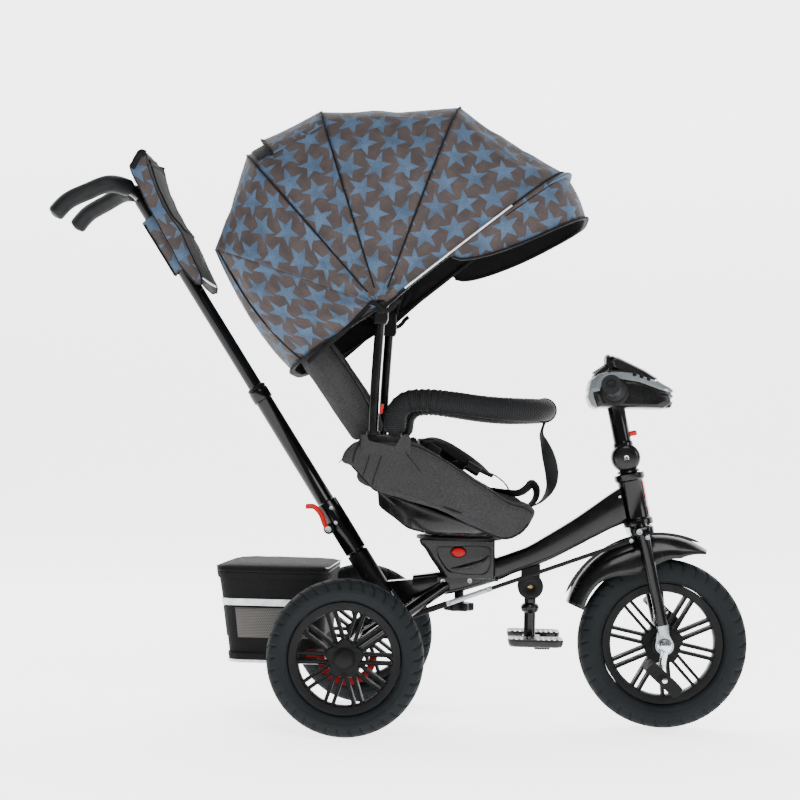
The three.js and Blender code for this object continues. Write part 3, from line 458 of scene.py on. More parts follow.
def merged(*parts):
    """Several (points, faces) as one."""
    points, faces = [], []
    for more_points, more_faces in parts:
        start = len(points)
        points += list(more_points)
        faces += [tuple(start + i for i in face) for face in more_faces]
    return points, faces


def curve(points, count):
    """Evenly spaced points on a smooth curve through the given ones."""
    points = [Vector(point) for point in points]
    ends = [2 * points[0] - points[1], *points, 2 * points[-1] - points[-2]]
    fine = []
    for i in range(len(points) - 1):
        p0, p1, p2, p3 = ends[i:i + 4]
        t1 = (p1 - p0).length ** 0.5
        t2 = t1 + (p2 - p1).length ** 0.5
        t3 = t2 + (p3 - p2).length ** 0.5
        for step in range(16):
            t = t1 + (t2 - t1) * step / 16
            a1 = p0.lerp(p1, t / t1)
            a2 = p1.lerp(p2, (t - t1) / (t2 - t1))
            a3 = p2.lerp(p3, (t - t2) / (t3 - t2))
            b1 = a1.lerp(a2, t / t2)
            b2 = a2.lerp(a3, (t - t1) / (t3 - t1))
            fine.append(b1.lerp(b2, (t - t1) / (t2 - t1)))
    fine.append(points[-1])
    lengths = [0.0]
    for a, b in zip(fine, fine[1:]):
        lengths.append(lengths[-1] + (b - a).length)
    spaced, k = [], 0
    for i in range(count):
        target = lengths[-1] * i / (count - 1)
        while k < len(fine) - 2 and lengths[k + 1] < target:
            k += 1
        gap = max(lengths[k + 1] - lengths[k], 1e-12)
        spaced.append(fine[k].lerp(fine[k + 1], min(1, max(0, (target - lengths[k]) / gap))))
    return spaced


def carried(path, section, up=(0, 0, 1)):
    """A section's loops along a path. section is a list of (across, up), or a function of the fraction."""
    up = Vector(up)
    loops = []
    last = len(path) - 1
    for i, point in enumerate(path):
        along = (path[min(i + 1, last)] - path[max(i - 1, 0)]).normalized()
        up = (up - along * up.dot(along)).normalized()
        across = along.cross(up)
        shape = section(i / last) if callable(section) else section
        loops.append([point + across * u + up * v for u, v in shape])
    return loops


def circle(radius, sides=24):
    return [(radius * math.cos(math.tau * i / sides), radius * math.sin(math.tau * i / sides))
            for i in range(sides)]


def strip(width, thickness):
    """A flat strap's section with softly rounded edges."""
    w, t = width / 2, thickness / 2
    return [(-w, -t * 0.4), (-w * 0.92, -t), (w * 0.92, -t), (w, -t * 0.4), (w, t * 0.4), (w * 0.92, t),
            (-w * 0.92, t), (-w, t * 0.4)]


def tube(name, path, radius, material, body, sides=24, up=(0, 0, 1), rounded=0.0, **options):
    """A round bar or pad along a path; rounded draws its two ends in, over that length in metres."""
    total = sum((b - a).length for a, b in zip(path, path[1:]))

    def section(fraction):
        reach = radius(fraction) if callable(radius) else radius
        if rounded:
            inside = min(fraction, 1 - fraction) * total / rounded
            reach *= math.sqrt(max(0.06, 1 - (1 - min(1, inside)) ** 2))
        return circle(reach, sides)
    loops = carried(path, section, up)
    girth = math.tau * (radius(0.5) if callable(radius) else radius)
    laid = laid_on(len(path) - 1, sides, lambda r, c: (girth * c / sides, total * r / (len(path) - 1)))
    return piece(name, *skin(loops), material, body, laid=laid, **options)


def lathe(origin, axis, profile, segments=64, closed=False):
    """Points and faces of a profile of (radius, distance) in mm, turned about an axis."""
    axis = Vector(axis).normalized()
    side = axis.orthogonal().normalized()
    other = axis.cross(side)
    loops = []
    for i in range(segments):
        angle = math.tau * i / segments
        out = side * math.cos(angle) + other * math.sin(angle)
        loops.append([origin + (out * r + axis * s) * MM for r, s in profile])
    return skin(loops, around=closed, along=True, caps=False)


def softened(profile, corner=0.6):
    """A turned profile with each corner cut back a little, so that its edges catch the light."""
    rounded = [profile[0]]
    for before, here, after in zip(profile, profile[1:], profile[2:]):
        for other in (before, after):
            length = math.hypot(other[0] - here[0], other[1] - here[1])
            share = min(0.4, corner / max(length, 1e-6))
            rounded.append(tuple(h + (o - h) * share for h, o in zip(here, other)))
    return [*rounded, profile[-1]]


def plug(origin, axis, radius, length, corner=0.8, segments=40):
    """A round button, bolt head or disc with a softened rim."""
    profile = softened([(0, 0), (radius, 0), (radius, length), (0, length)], corner)
    return lathe(origin, axis, profile, segments)


def bolt(origin, axis, radius=4.5, length=3):
    """A socket-head bolt: a low round head with a hexagonal recess."""
    axis = Vector(axis).normalized()
    head = lathe(origin, axis, softened([(0, 0), (radius, 0), (radius, length), (radius * 0.55, length)],
                                        0.5), 28)
    side = axis.orthogonal().normalized()
    other = axis.cross(side)

    def ring(depth, reach):
        return [origin
                + (side * math.cos(math.tau * i / 28) + other * math.sin(math.tau * i / 28)) * reach(i) * MM
                + axis * depth * MM for i in range(28)]

    def hexagon(i):
        angle = (math.tau * i / 28) % (math.pi / 3) - math.pi / 6
        return radius * 0.5 * math.cos(math.pi / 6) / math.cos(angle)

    loops = [ring(length, lambda i: radius * 0.55), ring(length - 0.2, hexagon), ring(length * 0.3, hexagon)]
    return merged(head, skin(loops, caps=False),
                  skin([ring(length * 0.3, hexagon), ring(length * 0.3, lambda i: 0.01)],
                                                      caps=False))


def rounded_rect(half, low, high, corner, arc=4):
    """A closed loop of (y, z) in mm: a rectangle with round corners."""
    corner = min(corner, half * 0.98, (high - low) / 2 * 0.98)
    loop = []
    for sy, sz, start in ((1, 1, 0), (-1, 1, 90), (-1, -1, 180), (1, -1, 270)):
        for i in range(arc + 1):
            angle = math.radians(start + 90 * i / arc)
            centre_z = high - corner if sz > 0 else low + corner
            loop.append((sy * (half - corner) + corner * math.cos(angle),
                         centre_z + corner * math.sin(angle)))
    return loop


def spread(stations, count):
    """Stations of numbers resampled smoothly to a larger count."""
    fine = []
    for i in range(count):
        place = (len(stations) - 1) * i / (count - 1)
        k = min(int(place), len(stations) - 2)
        t = place - k
        s0, s1, s2, s3 = (stations[min(max(j, 0), len(stations) - 1)] for j in range(k - 1, k + 3))
        fine.append(tuple(
            0.5 * (2 * b + (c - a) * t + (2 * a - 5 * b + 4 * c - d) * t * t
                   + (3 * b - a - 3 * c + d) * t ** 3)
            for a, b, c, d in zip(s0, s1, s2, s3)))
    return fine


def plate(outline, low, high, to_point=at):
    """Points and faces of a side outline of (x, z) in mm, from y = low to y = high."""
    loops = [[to_point(x, y, z) for x, z in outline] for y in (low, high)]
    return skin(loops)


def carry(node, material, bevel=0.0006, smooth=40):
    """A CAD node that stays: its material, softened edges and smooth shading."""
    obj = frame["nodes"][node]
    obj.data.materials.clear()
    obj.data.materials.append(material)
    obj.data.polygons.foreach_set("material_index", [0] * len(obj.data.polygons))
    weld = obj.modifiers.new("weld", "WELD")
    weld.merge_threshold = 0.00001
    if bevel:
        rounding = obj.modifiers.new("edges", "BEVEL")
        rounding.width = bevel
        rounding.segments = 2
        rounding.limit_method = "ANGLE"
        rounding.angle_limit = math.radians(smooth)
    obj.data.shade_smooth()
    obj.data.set_sharp_from_angle(angle=math.radians(smooth))
    return obj


# ------------------------------------------------------------------ wheels
SPOKE_PAIRS = 10
TREAD_BLOCKS = 38


def tyre(name, centre, radius, bead, half, body):
    """An air tyre: side lines, slanted shoulder blocks and two zigzag grooves round the crown."""
    outline = [(bead, half - 8), (bead + 3, half - 3.5), (bead + 10, half - 0.8), (bead + 19, half),
               (radius - 13, half - 1.5), (radius - 6, half - 4.5), (radius - 1.8, half - 11), (radius, 0)]
    smooth = [(p.x, p.y) for p in curve([Vector((r, y, 0)) for r, y in outline], 26)]
    profile = smooth + [(r, -y) for r, y in reversed(smooth[:-1])]
    around = TREAD_BLOCKS * 12
    loops = []
    for i in range(around):
        turn = i / around
        row = []
        for r, y in profile:
            side = 1 if y > 0 else -1
            block = (turn * TREAD_BLOCKS + 0.25 * side + abs(y) * 0.035) % 1
            groove = min(1, max(0, 1.6 - abs(block - 0.5) / 0.07))
            shoulder = min(1, max(0, (r - radius + 17) / 3)) * min(1, max(0, (abs(y) - 7) / 2))
            zigzag = 6 + 1.6 * abs(((turn * TREAD_BLOCKS * 2) % 2) - 1)
            crown = max(0, 1 - abs(abs(y) - zigzag) / 1.3)
            line = 1.0 * max(0, 1 - abs(r - bead - 7) / 1.5) + 0.9 * max(0, 1 - abs(r - bead - 14) / 1.5)
            depth = 2.6 * groove * shoulder + 1.6 * crown * min(1, max(0, (r - radius + 6) / 3))
            row.append((r - depth, y + side * (line - 1.5 * groove * shoulder)))
        angle = math.tau * turn
        loops.append([centre + Vector((r * math.cos(angle), y, r * math.sin(angle))) * MM for r, y in row])
    points, faces = skin(loops, around=True, along=True, caps=False)
    piece(name, points, faces, TYRE_RUBBER, body, replaces=[name.replace("_tread", "")], slot="tyre_rubber",
          smooth=50)


def spoke(centre, angle, aside, inner, outer, half):
    """One bar of the wheel: flat sides and a raised ridge, bowed a little outwards."""
    out = Vector((math.cos(angle), 0, math.sin(angle)))
    across = Vector((-out.z, 0, out.x))
    section = [(-2.4, -half), (2.4, -half), (2.7, half - 2.5), (1.3, half), (-1.3, half), (-2.7, half - 2.5)]
    loops = []
    for i in range(9):
        t = i / 8
        reach = inner + (outer - inner) * t
        dish = 1.5 * math.sin(math.pi * t)
        loops.append([centre + (out * reach + across * (aside + u)) * MM + Vector((0, v + dish * v / half,
                                                                                   0)) * MM
                      for u, v in [(u, y) for u, y in section]])
    return skin(loops)


def rim(name, centre, outer, inner, hub, half, hub_half, phase, body, replaced):
    """A moulded wheel: stepped ring, paired bars, scalloped hub face and five bolts on each side."""
    wall = half - 9
    ring = [(inner, -wall + 3), (inner + 1.5, -wall - 0.5), (outer - 5, -wall - 2.5),
            (outer - 1.2, -wall - 2.5),
            (outer - 0.2, -wall - 1), (outer - 0.2, wall + 1), (outer - 1.2, wall + 2.5),
            (outer - 5, wall + 2.5), (inner + 1.5, wall + 0.5), (inner, wall - 3)]
    parts = [lathe(centre, (0, 1, 0), ring, 128, closed=True)]
    for pair in range(SPOKE_PAIRS):
        angle = math.tau * pair / SPOKE_PAIRS + math.radians(phase)
        for aside in (-6.5, 6.5):
            for face in (-1, 1):
                shifted = centre + Vector((0, face * (wall - 5.5), 0)) * MM
                parts.append(spoke(shifted, angle, aside, hub - 9, inner + 1.5, 5 * face))
    bore = 6.6
    face = []
    for i in range(100):
        angle = math.tau * i / 100
        reach = hub - 2.6 + 2.6 * math.cos(5 * (angle - math.pi / 2))
        rows = [(bore, -hub_half), (hub * 0.52, -hub_half), (hub * 0.55, -wall - 1), (reach - 2, -wall - 1),
                (reach, -wall + 1), (reach, wall - 1), (reach - 2, wall + 1), (hub * 0.55, wall + 1),
                (hub * 0.52, hub_half), (bore, hub_half)]
        out = Vector((math.cos(angle), 0, math.sin(angle)))
        face.append([centre + (out * r + Vector((0, y, 0))) * MM for r, y in rows])
    parts.append(skin(face, around=True, along=True, caps=False))
    piece(name, *merged(*parts), MATT_BLACK, body, replaces=[replaced], slot="rim_plastic", smooth=30,
          bevel=0.0004)
    bolts = []
    for side in (-1, 1):
        for i in range(5):
            angle = math.pi / 2 + math.tau * (i + 0.5) / 5
            spot = centre + Vector((math.cos(angle) * hub * 0.8, side * (wall + 1),
                                    math.sin(angle) * hub * 0.8)) * MM
            bolts.append(bolt(spot, (0, side, 0), 3.4, 2.2))
    piece(name + "_bolts", *merged(*bolts), SATIN_BLACK, body, slot="satin_black_plastic")


def wheel_cap(name, centre, side, reach, body):
    cap = softened([(0, 0), (14.5, 0), (14.5, 3.4), (13, 4.6), (0, 5.2)], 0.6)
    spot = centre + Vector((0, side * reach, 0)) * MM
    piece(name, *lathe(spot, (0, side, 0), cap, 56), SATIN_BLACK, body, slot="satin_black_plastic")


def valve(name, centre, inner, body):
    """The tyre's air valve, standing up inside the rim."""
    foot = centre + Vector((0.2, 0, -1)).normalized() * (inner + 2) * MM
    profile = softened([(3.2, 0), (3.2, 5), (2.2, 6), (2.2, 15), (3, 15.2), (3, 20), (0, 20)], 0.3)
    piece(name, *lathe(foot, centre - foot, profile, 20), SATIN_BLACK, body, slot="satin_black_plastic")


def wheels():
    for side, sign in SIDES:
        centre, body = pivot(f"rear_wheel_{side}_spin"), f"rear_wheel_{side}"
        tyre(f"rear_tyre_{side}_tread", centre, 127, 91.5, 22, body)
        rim(f"rear_rim_{side}_spokes", centre, 91, 76, 32, 22, 20, 0, body, f"rear_rim_{side}")
        wheel_cap(f"rear_cap_{side}", centre, sign, 20.2, body)
        valve(f"rear_valve_{side}", centre, 76, body)
    tyre("front_tyre_tread", FRONT, 144, 103.5, 23, "front_wheel")
    rim("front_rim_spokes", FRONT, 103, 88, 36, 23, 40, -12, "front_wheel", "front_rim")
    valve("front_valve", FRONT, 88, "front_wheel")


# ------------------------------------------------------------------ frame
def main_beam():
    """The swept beam from under the seat up to the head tube, and the footrest's cheeks."""
    stations = [(98, 249, 205), (126, 253, 213), (176, 262, 222), (242, 283, 243), (270, 293, 256),
                (296, 304, 266), (330, 325, 280), (366, 348, 299),
                (400, 372, 318), (428, 393, 337), (450, 408, 349)]
    loops = []
    for x, high, low in spread(stations, 52):
        lean = min(12, max(0, (x - 400) * 0.28))
        loops.append([at(x + lean * (1 - (z - low) / (high - low)), y, z)
                      for y, z in rounded_rect(19, low, high, 8)])
    piece("beam_shell", *skin(loops), GLOSS_BLACK, "frame", replaces=["main_beam"],
          slot="gloss_black_frame", smooth=45)
    x, z = 300, 235
    parts = []
    for side in (-1, 1):
        parts.append(lathe(at(x, side * 10, z), (0, side, 0),
                           softened([(4, 0), (22, 0), (22, 6), (19.5, 7.4), (8, 7.4), (7, 6), (4, 6)]), 56))
        flank = [(x - 16, z), (x + 16, z), (x + 16, z + 38), (x - 16, z + 28)]
        low, high = sorted((side * 10, side * 16.4))
        parts.append(plate(flank, low, high))
    piece("footrest_cheeks", *merged(*parts), SATIN_BLACK, "frame", slot="satin_black_plastic", bevel=0.0012)
    rivets = [plug(at(x, side * 16.2, z), (0, side, 0), 3.4, 2.2, 1.0, 24) for side in (-1, 1)]
    piece("footrest_rivets", *merged(*rivets), BRASS, "frame", slot="zinc_steel")


def weld(name, centre, axis, radius, body, wobble=0.7):
    """A bead of weld round a joint: a ring of small overlapping ripples."""
    axis = Vector(axis).normalized()
    side = axis.orthogonal().normalized()
    other = axis.cross(side)
    loops = []
    for i in range(120):
        angle = math.tau * i / 120
        out = side * math.cos(angle) + other * math.sin(angle)
        thick = 1.7 + wobble * 0.5 * math.sin(angle * 26)
        loops.append([centre + (out * (radius + u * thick) + axis * v * thick) * MM for u, v in circle(1, 8)])
    piece(name, *skin(loops, along=True, caps=False), GLOSS_BLACK, body, slot="gloss_black_frame", smooth=80)


def head_tube():
    profile = [(15, 204), (25.4, 204), (25.8, 214), (23, 216), (22, 218), (22, 281), (25, 283), (26, 285),
               (26, 294), (15, 295)]
    piece("head_tube_shell", *lathe(on_fork(0, 0, 0), STEER_AXIS, softened(profile), 72), GLOSS_BLACK,
          "frame", replaces=["head_tube"], slot="gloss_black_frame", smooth=30)
    for name, low, high, material, slot in (("reflector_upper", 247, 278, RED_LENS, "red_plastic"),
                                            ("reflector_middle", 235, 246, CLEAR_LENS, "silver_plastic"),
                                            ("reflector_lower", 220, 234, RED_LENS, "red_plastic")):
        loops = []
        for i in range(13):
            angle = math.radians(-34 + 68 * i / 12)
            loops.append([on_fork(r * math.cos(angle), r * math.sin(angle), z)
                          for r, z in ((21.8, low), (23.4, low + 0.8), (23.4, high - 0.8), (21.8, high))])
        piece(name, *skin(loops), material, "frame", slot=slot)
    screw = plug(at(449, -18.6, 392), (0, -1, 0), 2.6, 1.4, 0.6, 18)
    piece("head_screw", *screw, CHROME, "frame", slot="chrome")


def rear_frame():
    """The wedge plate behind the beam, the axle tube and the two stays that spread out to the rear wheels."""
    deck = plate([(140, 236.5), (245, 243), (245, 247.3), (140, 247.3)], -24, 24)
    top, low = on_pole(18, 19.6), on_pole(-30, 19.6)
    to_mm = [((p.x - REAR.x) / MM, p.z / MM) for p in (low, top)]
    web = plate([(to_mm[0][0] + 4, to_mm[0][1]), (150, 240), (145, 247), to_mm[1]], -14, 14)
    axle_tube = lathe(at(0, 0, 127), (0, 1, 0), softened([(6.6, -158), (12, -158), (12, 158), (6.6, 158)]),
                      40, True)
    parts = [deck, web, axle_tube]
    for side in (-1, 1):
        path = curve([at(154, side * 18, 233.5), at(100, side * 62, 196), at(50, side * 105, 161),
                      at(2, side * 145, 128)], 20)
        parts.append(skin(carried(path, [(u * 1.15, v) for u, v in circle(0.0105, 24)])))
    piece("rear_frame_weldment", *merged(*parts), GLOSS_BLACK, "frame", replaces=["rear_frame"],
          slot="gloss_black_frame", bevel=0.0012)
    for side in (-1, 1):
        weld(f"stay_weld_{'left' if side > 0 else 'right'}", at(8, side * 139, 132), (0, 1, 0), 13, "frame")
    bolts = [bolt(at(x, side * 24, z), (0, side, 0), 4.2, 3) for x, z in ((150, 241), (196, 243))
             for side in (-1, 1)]
    piece("frame_bolts", *merged(*bolts), ZINC, "frame", slot="zinc_steel")


def pedestal():
    """The block under the seat: a drawn-in skirt, an outlined side panel with a ledge, and the red release."""
    stations = [(248, 151, 239), (262, 142, 239), (280, 129, 238.5), (296, 119, 238), (304, 111, 238),
                (312, 108.5, 238)]
    loops = []
    for z, back, front in spread(stations, 14):
        half = 47 + 3 * min(1, (z - 248) / 30)
        middle, reach = (back + front) / 2, (front - back) / 2
        loops.append([at(middle + u, v, z) for u, v in rounded_rect(reach, -half, half, 9, 5)])
    piece("pedestal_shell", *skin(loops), GLOSS_PLASTIC, "frame", replaces=["seat_pedestal"],
          slot="gloss_black_plastic", smooth=50, bevel=0.001)
    for side in (-1, 1):
        name = "left" if side > 0 else "right"
        outline = [(142, 300), (228, 300), (231, 292), (229, 266), (220, 256), (172, 256), (158, 262),
                   (140, 292)]
        rim_path = curve([at(x, side * 50.2, z) for x, z in [*outline, outline[0]]], 90)
        piece(f"pedestal_panel_rim_{name}", *skin(carried(rim_path, circle(0.0011, 8), (0, 1, 0))),
              GLOSS_PLASTIC, "frame", slot="gloss_black_plastic")
        ledge = [at(x, side * y, z) for x, y, z in ((164, 49.5, 264), (190, 53.2, 268), (215, 52.5, 277),
                                                    (228, 49.5, 288))]
        shelf = carried(curve(ledge, 24), lambda t: [(u * (0.4 + 2.2 * math.sin(math.pi * t)), v * 2)
                                                     for u, v in circle(0.0016, 10)], (0, 1, 0))
        piece(f"pedestal_ledge_{name}", *skin(shelf), GLOSS_PLASTIC, "frame", slot="gloss_black_plastic")
    low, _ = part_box("swivel_button")
    for name, grow, depth, material, slot in (("swivel_button_bezel", 2.2, 52.6, SATIN_BLACK,
                                               "satin_black_plastic"),
                                              ("swivel_button_cap", 0, None, RED_PLASTIC, "red_plastic")):
        outer = depth or -low[1] / MM
        loops = []
        for y, shrink in ((47, 0), (outer - 1.6, 0), (outer - 0.5, 0.6), (outer, 2)):
            loops.append([at(176 + (11.5 + grow - shrink) * math.cos(a), -y,
                             292.5 + (7.5 + grow - shrink) * math.sin(a))
                          for a in (math.tau * k / 48 for k in range(48))])
        piece(name, *skin(loops), material, "frame" if depth else "swivel_button", slot=slot,
              smooth=50, **({} if depth else {"replaces": ["swivel_button"]}))


def knob_and_link():
    loops = []
    for z, grow in ((190, -3), (191, -0.8), (193, 0), (201, 0), (203.3, -0.8), (204, -3)):
        row = []
        for i in range(96):
            angle = math.tau * i / 96
            r = 23 + grow + 3 * math.cos(6 * angle)
            row.append(at(178 + r * math.cos(angle), r * math.sin(angle), z))
        loops.append(row)
    stem = lathe(at(178, 0, 203), (0, 0, 1), softened([(0, 0), (10.5, 0), (8, 5), (8, 32.4), (0, 32.4)]), 36)
    piece("frame_knob_lobes", *merged(skin(loops), stem), SATIN_BLACK, "frame_knob", replaces=["frame_knob"],
          slot="satin_black_plastic", smooth=45)
    rear, ahead = at(84, -45, 177), at(473, -45, 321)

    def bar(name, start, end, section, material, slot, **options):
        path = [rear.lerp(ahead, start + (end - start) * i / 12) for i in range(13)]
        piece(name, *skin(carried(path, section, (0, 0, 1))), material, "steering_link", slot=slot,
              bevel=0.0008, **options)

    def flat(width, height):
        return [(u * MM, v * MM) for u, v in rounded_rect(width, -height, height, 2, 3)]
    bar("steering_link_bar", 0.37, 1, flat(4, 3.4), MATT_BLACK, "satin_black_plastic",
        replaces=["steering_link"])
    bar("steering_link_slide", 0.185, 0.385, flat(5, 4.2), ZINC, "zinc_steel")
    bar("steering_link_slot", 0.2, 0.375, [(u - 0.0052, v) for u, v in flat(0.4, 0.8)], SATIN_BLACK,
        "satin_black_plastic")
    bar("steering_link_end", 0, 0.19, flat(6.6, 4.8), MATT_BLACK, "satin_black_plastic")
    pins = [bolt(rear.lerp(ahead, t) + Vector((0, -0.0045, 0)), (0, -1, 0), 3.6, 2.4)
            for t in (0.2, 0.37, 0.985)]
    piece("steering_link_pins", *merged(*pins), ZINC, "steering_link", slot="zinc_steel")


def footrest():
    x = 300
    stem = lathe(at(x, 0, 138), (0, 0, 1), softened([(0, 0), (10, 0), (10, 52), (14, 54), (15, 57),
                                                     (15, 64), (13, 67), (10, 68), (10, 80), (0, 80)]), 40)
    eye = lathe(at(x, 0, 235), (0, 1, 0), softened([(4.5, -9.4), (20, -9.4), (20, 9.4), (4.5, 9.4)]), 56,
                True)
    block = plate([(x + 8, 130), (x + 34, 130), (x + 34, 139), (x + 8, 139)], -30, 30)
    bar = plate([(x - 12, 138), (x + 18, 138), (x + 18, 150), (x - 12, 150)], -40, 40)
    piece("footrest_stem", *merged(stem, eye, bar, block), GLOSS_PLASTIC, "footrest", replaces=["footrest"],
          slot="satin_black_plastic", bevel=0.0012)
    for side, sign in SIDES:
        loops = []
        for z, reach, half in ((140.2, 41, 29), (141, 43.5, 31.5), (147, 45.6, 34), (151.6, 46, 35),
                               (153, 45, 34), (152.4, 43.5, 32.5)):
            loops.append([at(308 + u, sign * 72 + v, z) for u, v in rounded_rect(reach, -half, half, 12, 6)])
        piece(f"footplate_{side}", *skin(loops), GLOSS_PLASTIC, "footrest", slot="satin_black_plastic",
              smooth=50)
        treads = []
        for i in range(9):
            tread_x = 308 - 36 + 9 * i
            path = [at(tread_x, sign * 72 + y, 152.8) for y in (-27, -13, 0, 13, 27)]
            treads.append(skin(carried(path, strip(0.0045, 0.0008))))
        piece(f"footplate_tread_{side}", *merged(*treads), SATIN_BLACK, "footrest",
              slot="satin_black_plastic")
    shine = lathe(at(x, 0, 196), (0, 0, 1), softened([(15.1, 0), (15.8, 1), (15.8, 5), (15.1, 6)]), 48, True)
    piece("footrest_ring", *shine, GLOSS_BLACK, "footrest", slot="gloss_black_frame")


def brake_and_axle():
    carry("brake_pedal", RED_PLASTIC, 0.0008)
    rod = lathe(REAR.copy(), (0, 1, 0), softened([(0, -449), (6, -449), (6, 19), (0, 19)], 0.8), 32)
    piece("rear_axle_rod", *rod, CHROME, "frame", replaces=["rear_axle"], slot="chrome")
    carry("crank_axle", CHROME, 0.0006)
    carry("clamp_lever", RED_PLASTIC, 0.0)
    button = plug(on_fork(13, 0, 361), on_fork(1, 0, 0) - on_fork(0, 0, 0), 4.6, 14, 1.4, 32)
    piece("stem_button_cap", *button, RED_PLASTIC, "stem_button", replaces=["stem_button"],
          slot="red_plastic")


# ------------------------------------------------------------------ push handle
def push_handle():
    """The socket, the lower tube with its sleeve and collar, the upper tube, the bow and its foam horns."""
    def turned(name, profile, material, body, **options):
        return piece(name, *lathe(POLE_FOOT, POLE_AXIS, softened(profile, 0.8), 56), material, body,
                     **options)
    turned("pole_socket_sleeve", [(15.5, 0), (19, 0), (19, 86.5), (15.5, 88)], SATIN_BLACK, "frame",
           replaces=["pole_socket"], slot="satin_black_plastic")
    turned("lower_pole_tube", [(0, -45), (15, -45), (15, 90), (19, 90.5), (19.4, 120), (19, 189),
                               (15.2, 190.5), (15, 396),
                               (17.5, 397), (17.5, 416), (16, 418), (12.9, 418)], GLOSS_BLACK, "push_handle",
           replaces=["lower_pole"], slot="gloss_black_frame")
    arm = [on_pole(-37, 0, -10), on_pole(-37, 0, -30), on_pole(-37, 0, -52)]
    tube("pole_steering_arm", curve(arm, 12), 0.006, GLOSS_BLACK, "push_handle", slot="gloss_black_frame",
         up=(1, 0, 0))
    turned("upper_pole_tube", [(12.5, 250), (12.5, 806), (12, 812), (0, 815)], GLOSS_BLACK, "push_top",
           replaces=["upper_pole"], slot="gloss_black_frame")
    turned("collar_ring", [(12.9, 417.6), (16.6, 418.6), (16.8, 423), (13.2, 425), (12.9, 425)], SATIN_BLACK,
           "push_handle", slot="satin_black_plastic")
    sideways = []
    for s, offset in ((176, 4), (150, -3), (70, 3), (46, -4), (28, 3)):
        reach = 19.2
        sideways.append((bolt(on_pole(s, offset, -reach), (0, -1, 0), 3.4, 1.8), "frame" if s < 88
                         else "push_handle"))
    for body in ("frame", "push_handle"):
        chosen = [shape for shape, owner in sideways if owner == body]
        piece(f"pole_rivets_{body}", *merged(*chosen), ZINC if body == "push_handle" else SATIN_BLACK, body,
              slot="zinc_steel" if body == "push_handle" else "satin_black_plastic")
    boss = lathe(at(-48, -8, 325), (0, -1, 0), softened([(0, 0), (9, 0), (9, 12), (0, 12)]), 32)
    piece("clamp_boss", *boss, SATIN_BLACK, "push_handle", slot="satin_black_plastic")
    pivot_bolt = bolt(at(-48, -30, 325), (0, -1, 0), 5.4, 2.6)
    piece("clamp_pivot_bolt", *pivot_bolt, ZINC, "clamp_lever", slot="zinc_steel")
    head = on_pole(815)
    half = [(-131, -82, -46), (-108, -78, -20), (-76, -71, -2), (-42, -58, 14), (-16, -34, 12), (-2, -14, 4)]
    right = [head + Vector((x, y, z)) * MM for x, y, z in half]
    left = [Vector((p.x, -p.y, p.z)) for p in reversed(right)]
    bow = curve([*right, head + Vector((0, 0, 0.001)), *left], 80)
    tube("push_bow", bow[3:-3], 0.0098, GLOSS_BLACK, "push_top", slot="gloss_black_frame")
    for name, run in (("push_grip_right", bow[:34]), ("push_grip_left", bow[:45:-1])):
        tube(f"{name}_foam", curve(run, 48), 0.0150, BLACK_FOAM, "push_top", 32, rounded=0.007,
             replaces=[name], slot="foam")


# ------------------------------------------------------------------ steered front
def fork():
    """Two legs with rounded shoulders, a pressed crown and flattened zinc ends round the axle."""
    for side, sign in SIDES:
        leg = curve([on_fork(0, sign * 44, 204), on_fork(0.5, sign * 49, 196), on_fork(1, sign * 50, 180),
                     on_fork(2, sign * 50, 100), on_fork(3, sign * 50, 20)], 40)
        tube(f"fork_leg_{side}", leg, lambda t: 0.0098 * (1.06 - 0.1 * t), GLOSS_BLACK, "steering",
             slot="gloss_black_frame", up=(1, 0, 0))
        eye = []
        for i in range(64):
            angle = math.tau * i / 64
            neck = max(0, math.sin(angle)) ** 6
            r = 15.5 + 13 * neck
            eye.append((r * math.cos(angle), r * math.sin(angle)))
        inner = [(6.6 * math.cos(math.tau * i / 64), 6.6 * math.sin(math.tau * i / 64)) for i in range(64)]
        rows = []
        for shape, y in ((inner, 47.4), (eye, 47.4), (eye, 51.6), (inner, 51.6)):
            rows.append([on_fork(x, sign * y, z) for x, z in shape])
        piece(f"fork_end_{side}", *skin(rows, along=True, caps=False), ZINC, "steering", slot="zinc_steel",
              bevel=0.0008)
        washer = lathe(on_fork(0, sign * 51.7, 0), (0, sign, 0),
                       softened([(6.6, 0), (12.5, 0), (12.5, 1.6), (9.5, 2.2), (9.2, 4.4), (6.6, 4.4)],
                                0.4), 48)
        piece(f"axle_washer_{side}", *washer, CHROME, "steering", slot="chrome")
        clamp = curve([on_fork(2.5, sign * 50, 34), on_fork(3, sign * 50, 18)], 8)
        tube(f"fork_ferrule_{side}", clamp, lambda t: 0.0103 - 0.0006 * t, ZINC, "steering",
             slot="zinc_steel", up=(1, 0, 0))
    crown = []
    for z, reach, half in ((189, 18, 57), (191, 20, 60), (201, 20, 60), (204, 17, 57)):
        crown.append([on_fork(x, y, z) for x, y in rounded_rect(reach, -half, half, 14, 5)])
    steerer = lathe(on_fork(0, 0, 0), STEER_AXIS,
                    softened([(0, 193), (14.6, 193), (14.6, 295.5), (20, 296), (18, 301), (0, 301)]), 40)
    piece("fork_crown", *merged(skin(crown), steerer), GLOSS_BLACK, "steering", replaces=["fork"],
          slot="gloss_black_frame", smooth=50)
    nuts = [bolt(on_fork(-6, sign * 60, 196), (0, sign, 0), 5, 3.4) for sign in (-1, 1)]
    nuts += [bolt(on_fork(6, sign * 58.5, 184), (0, sign, 0), 4, 3) for sign in (-1, 1)]
    piece("crown_bolts", *merged(*nuts), ZINC, "steering", slot="zinc_steel")


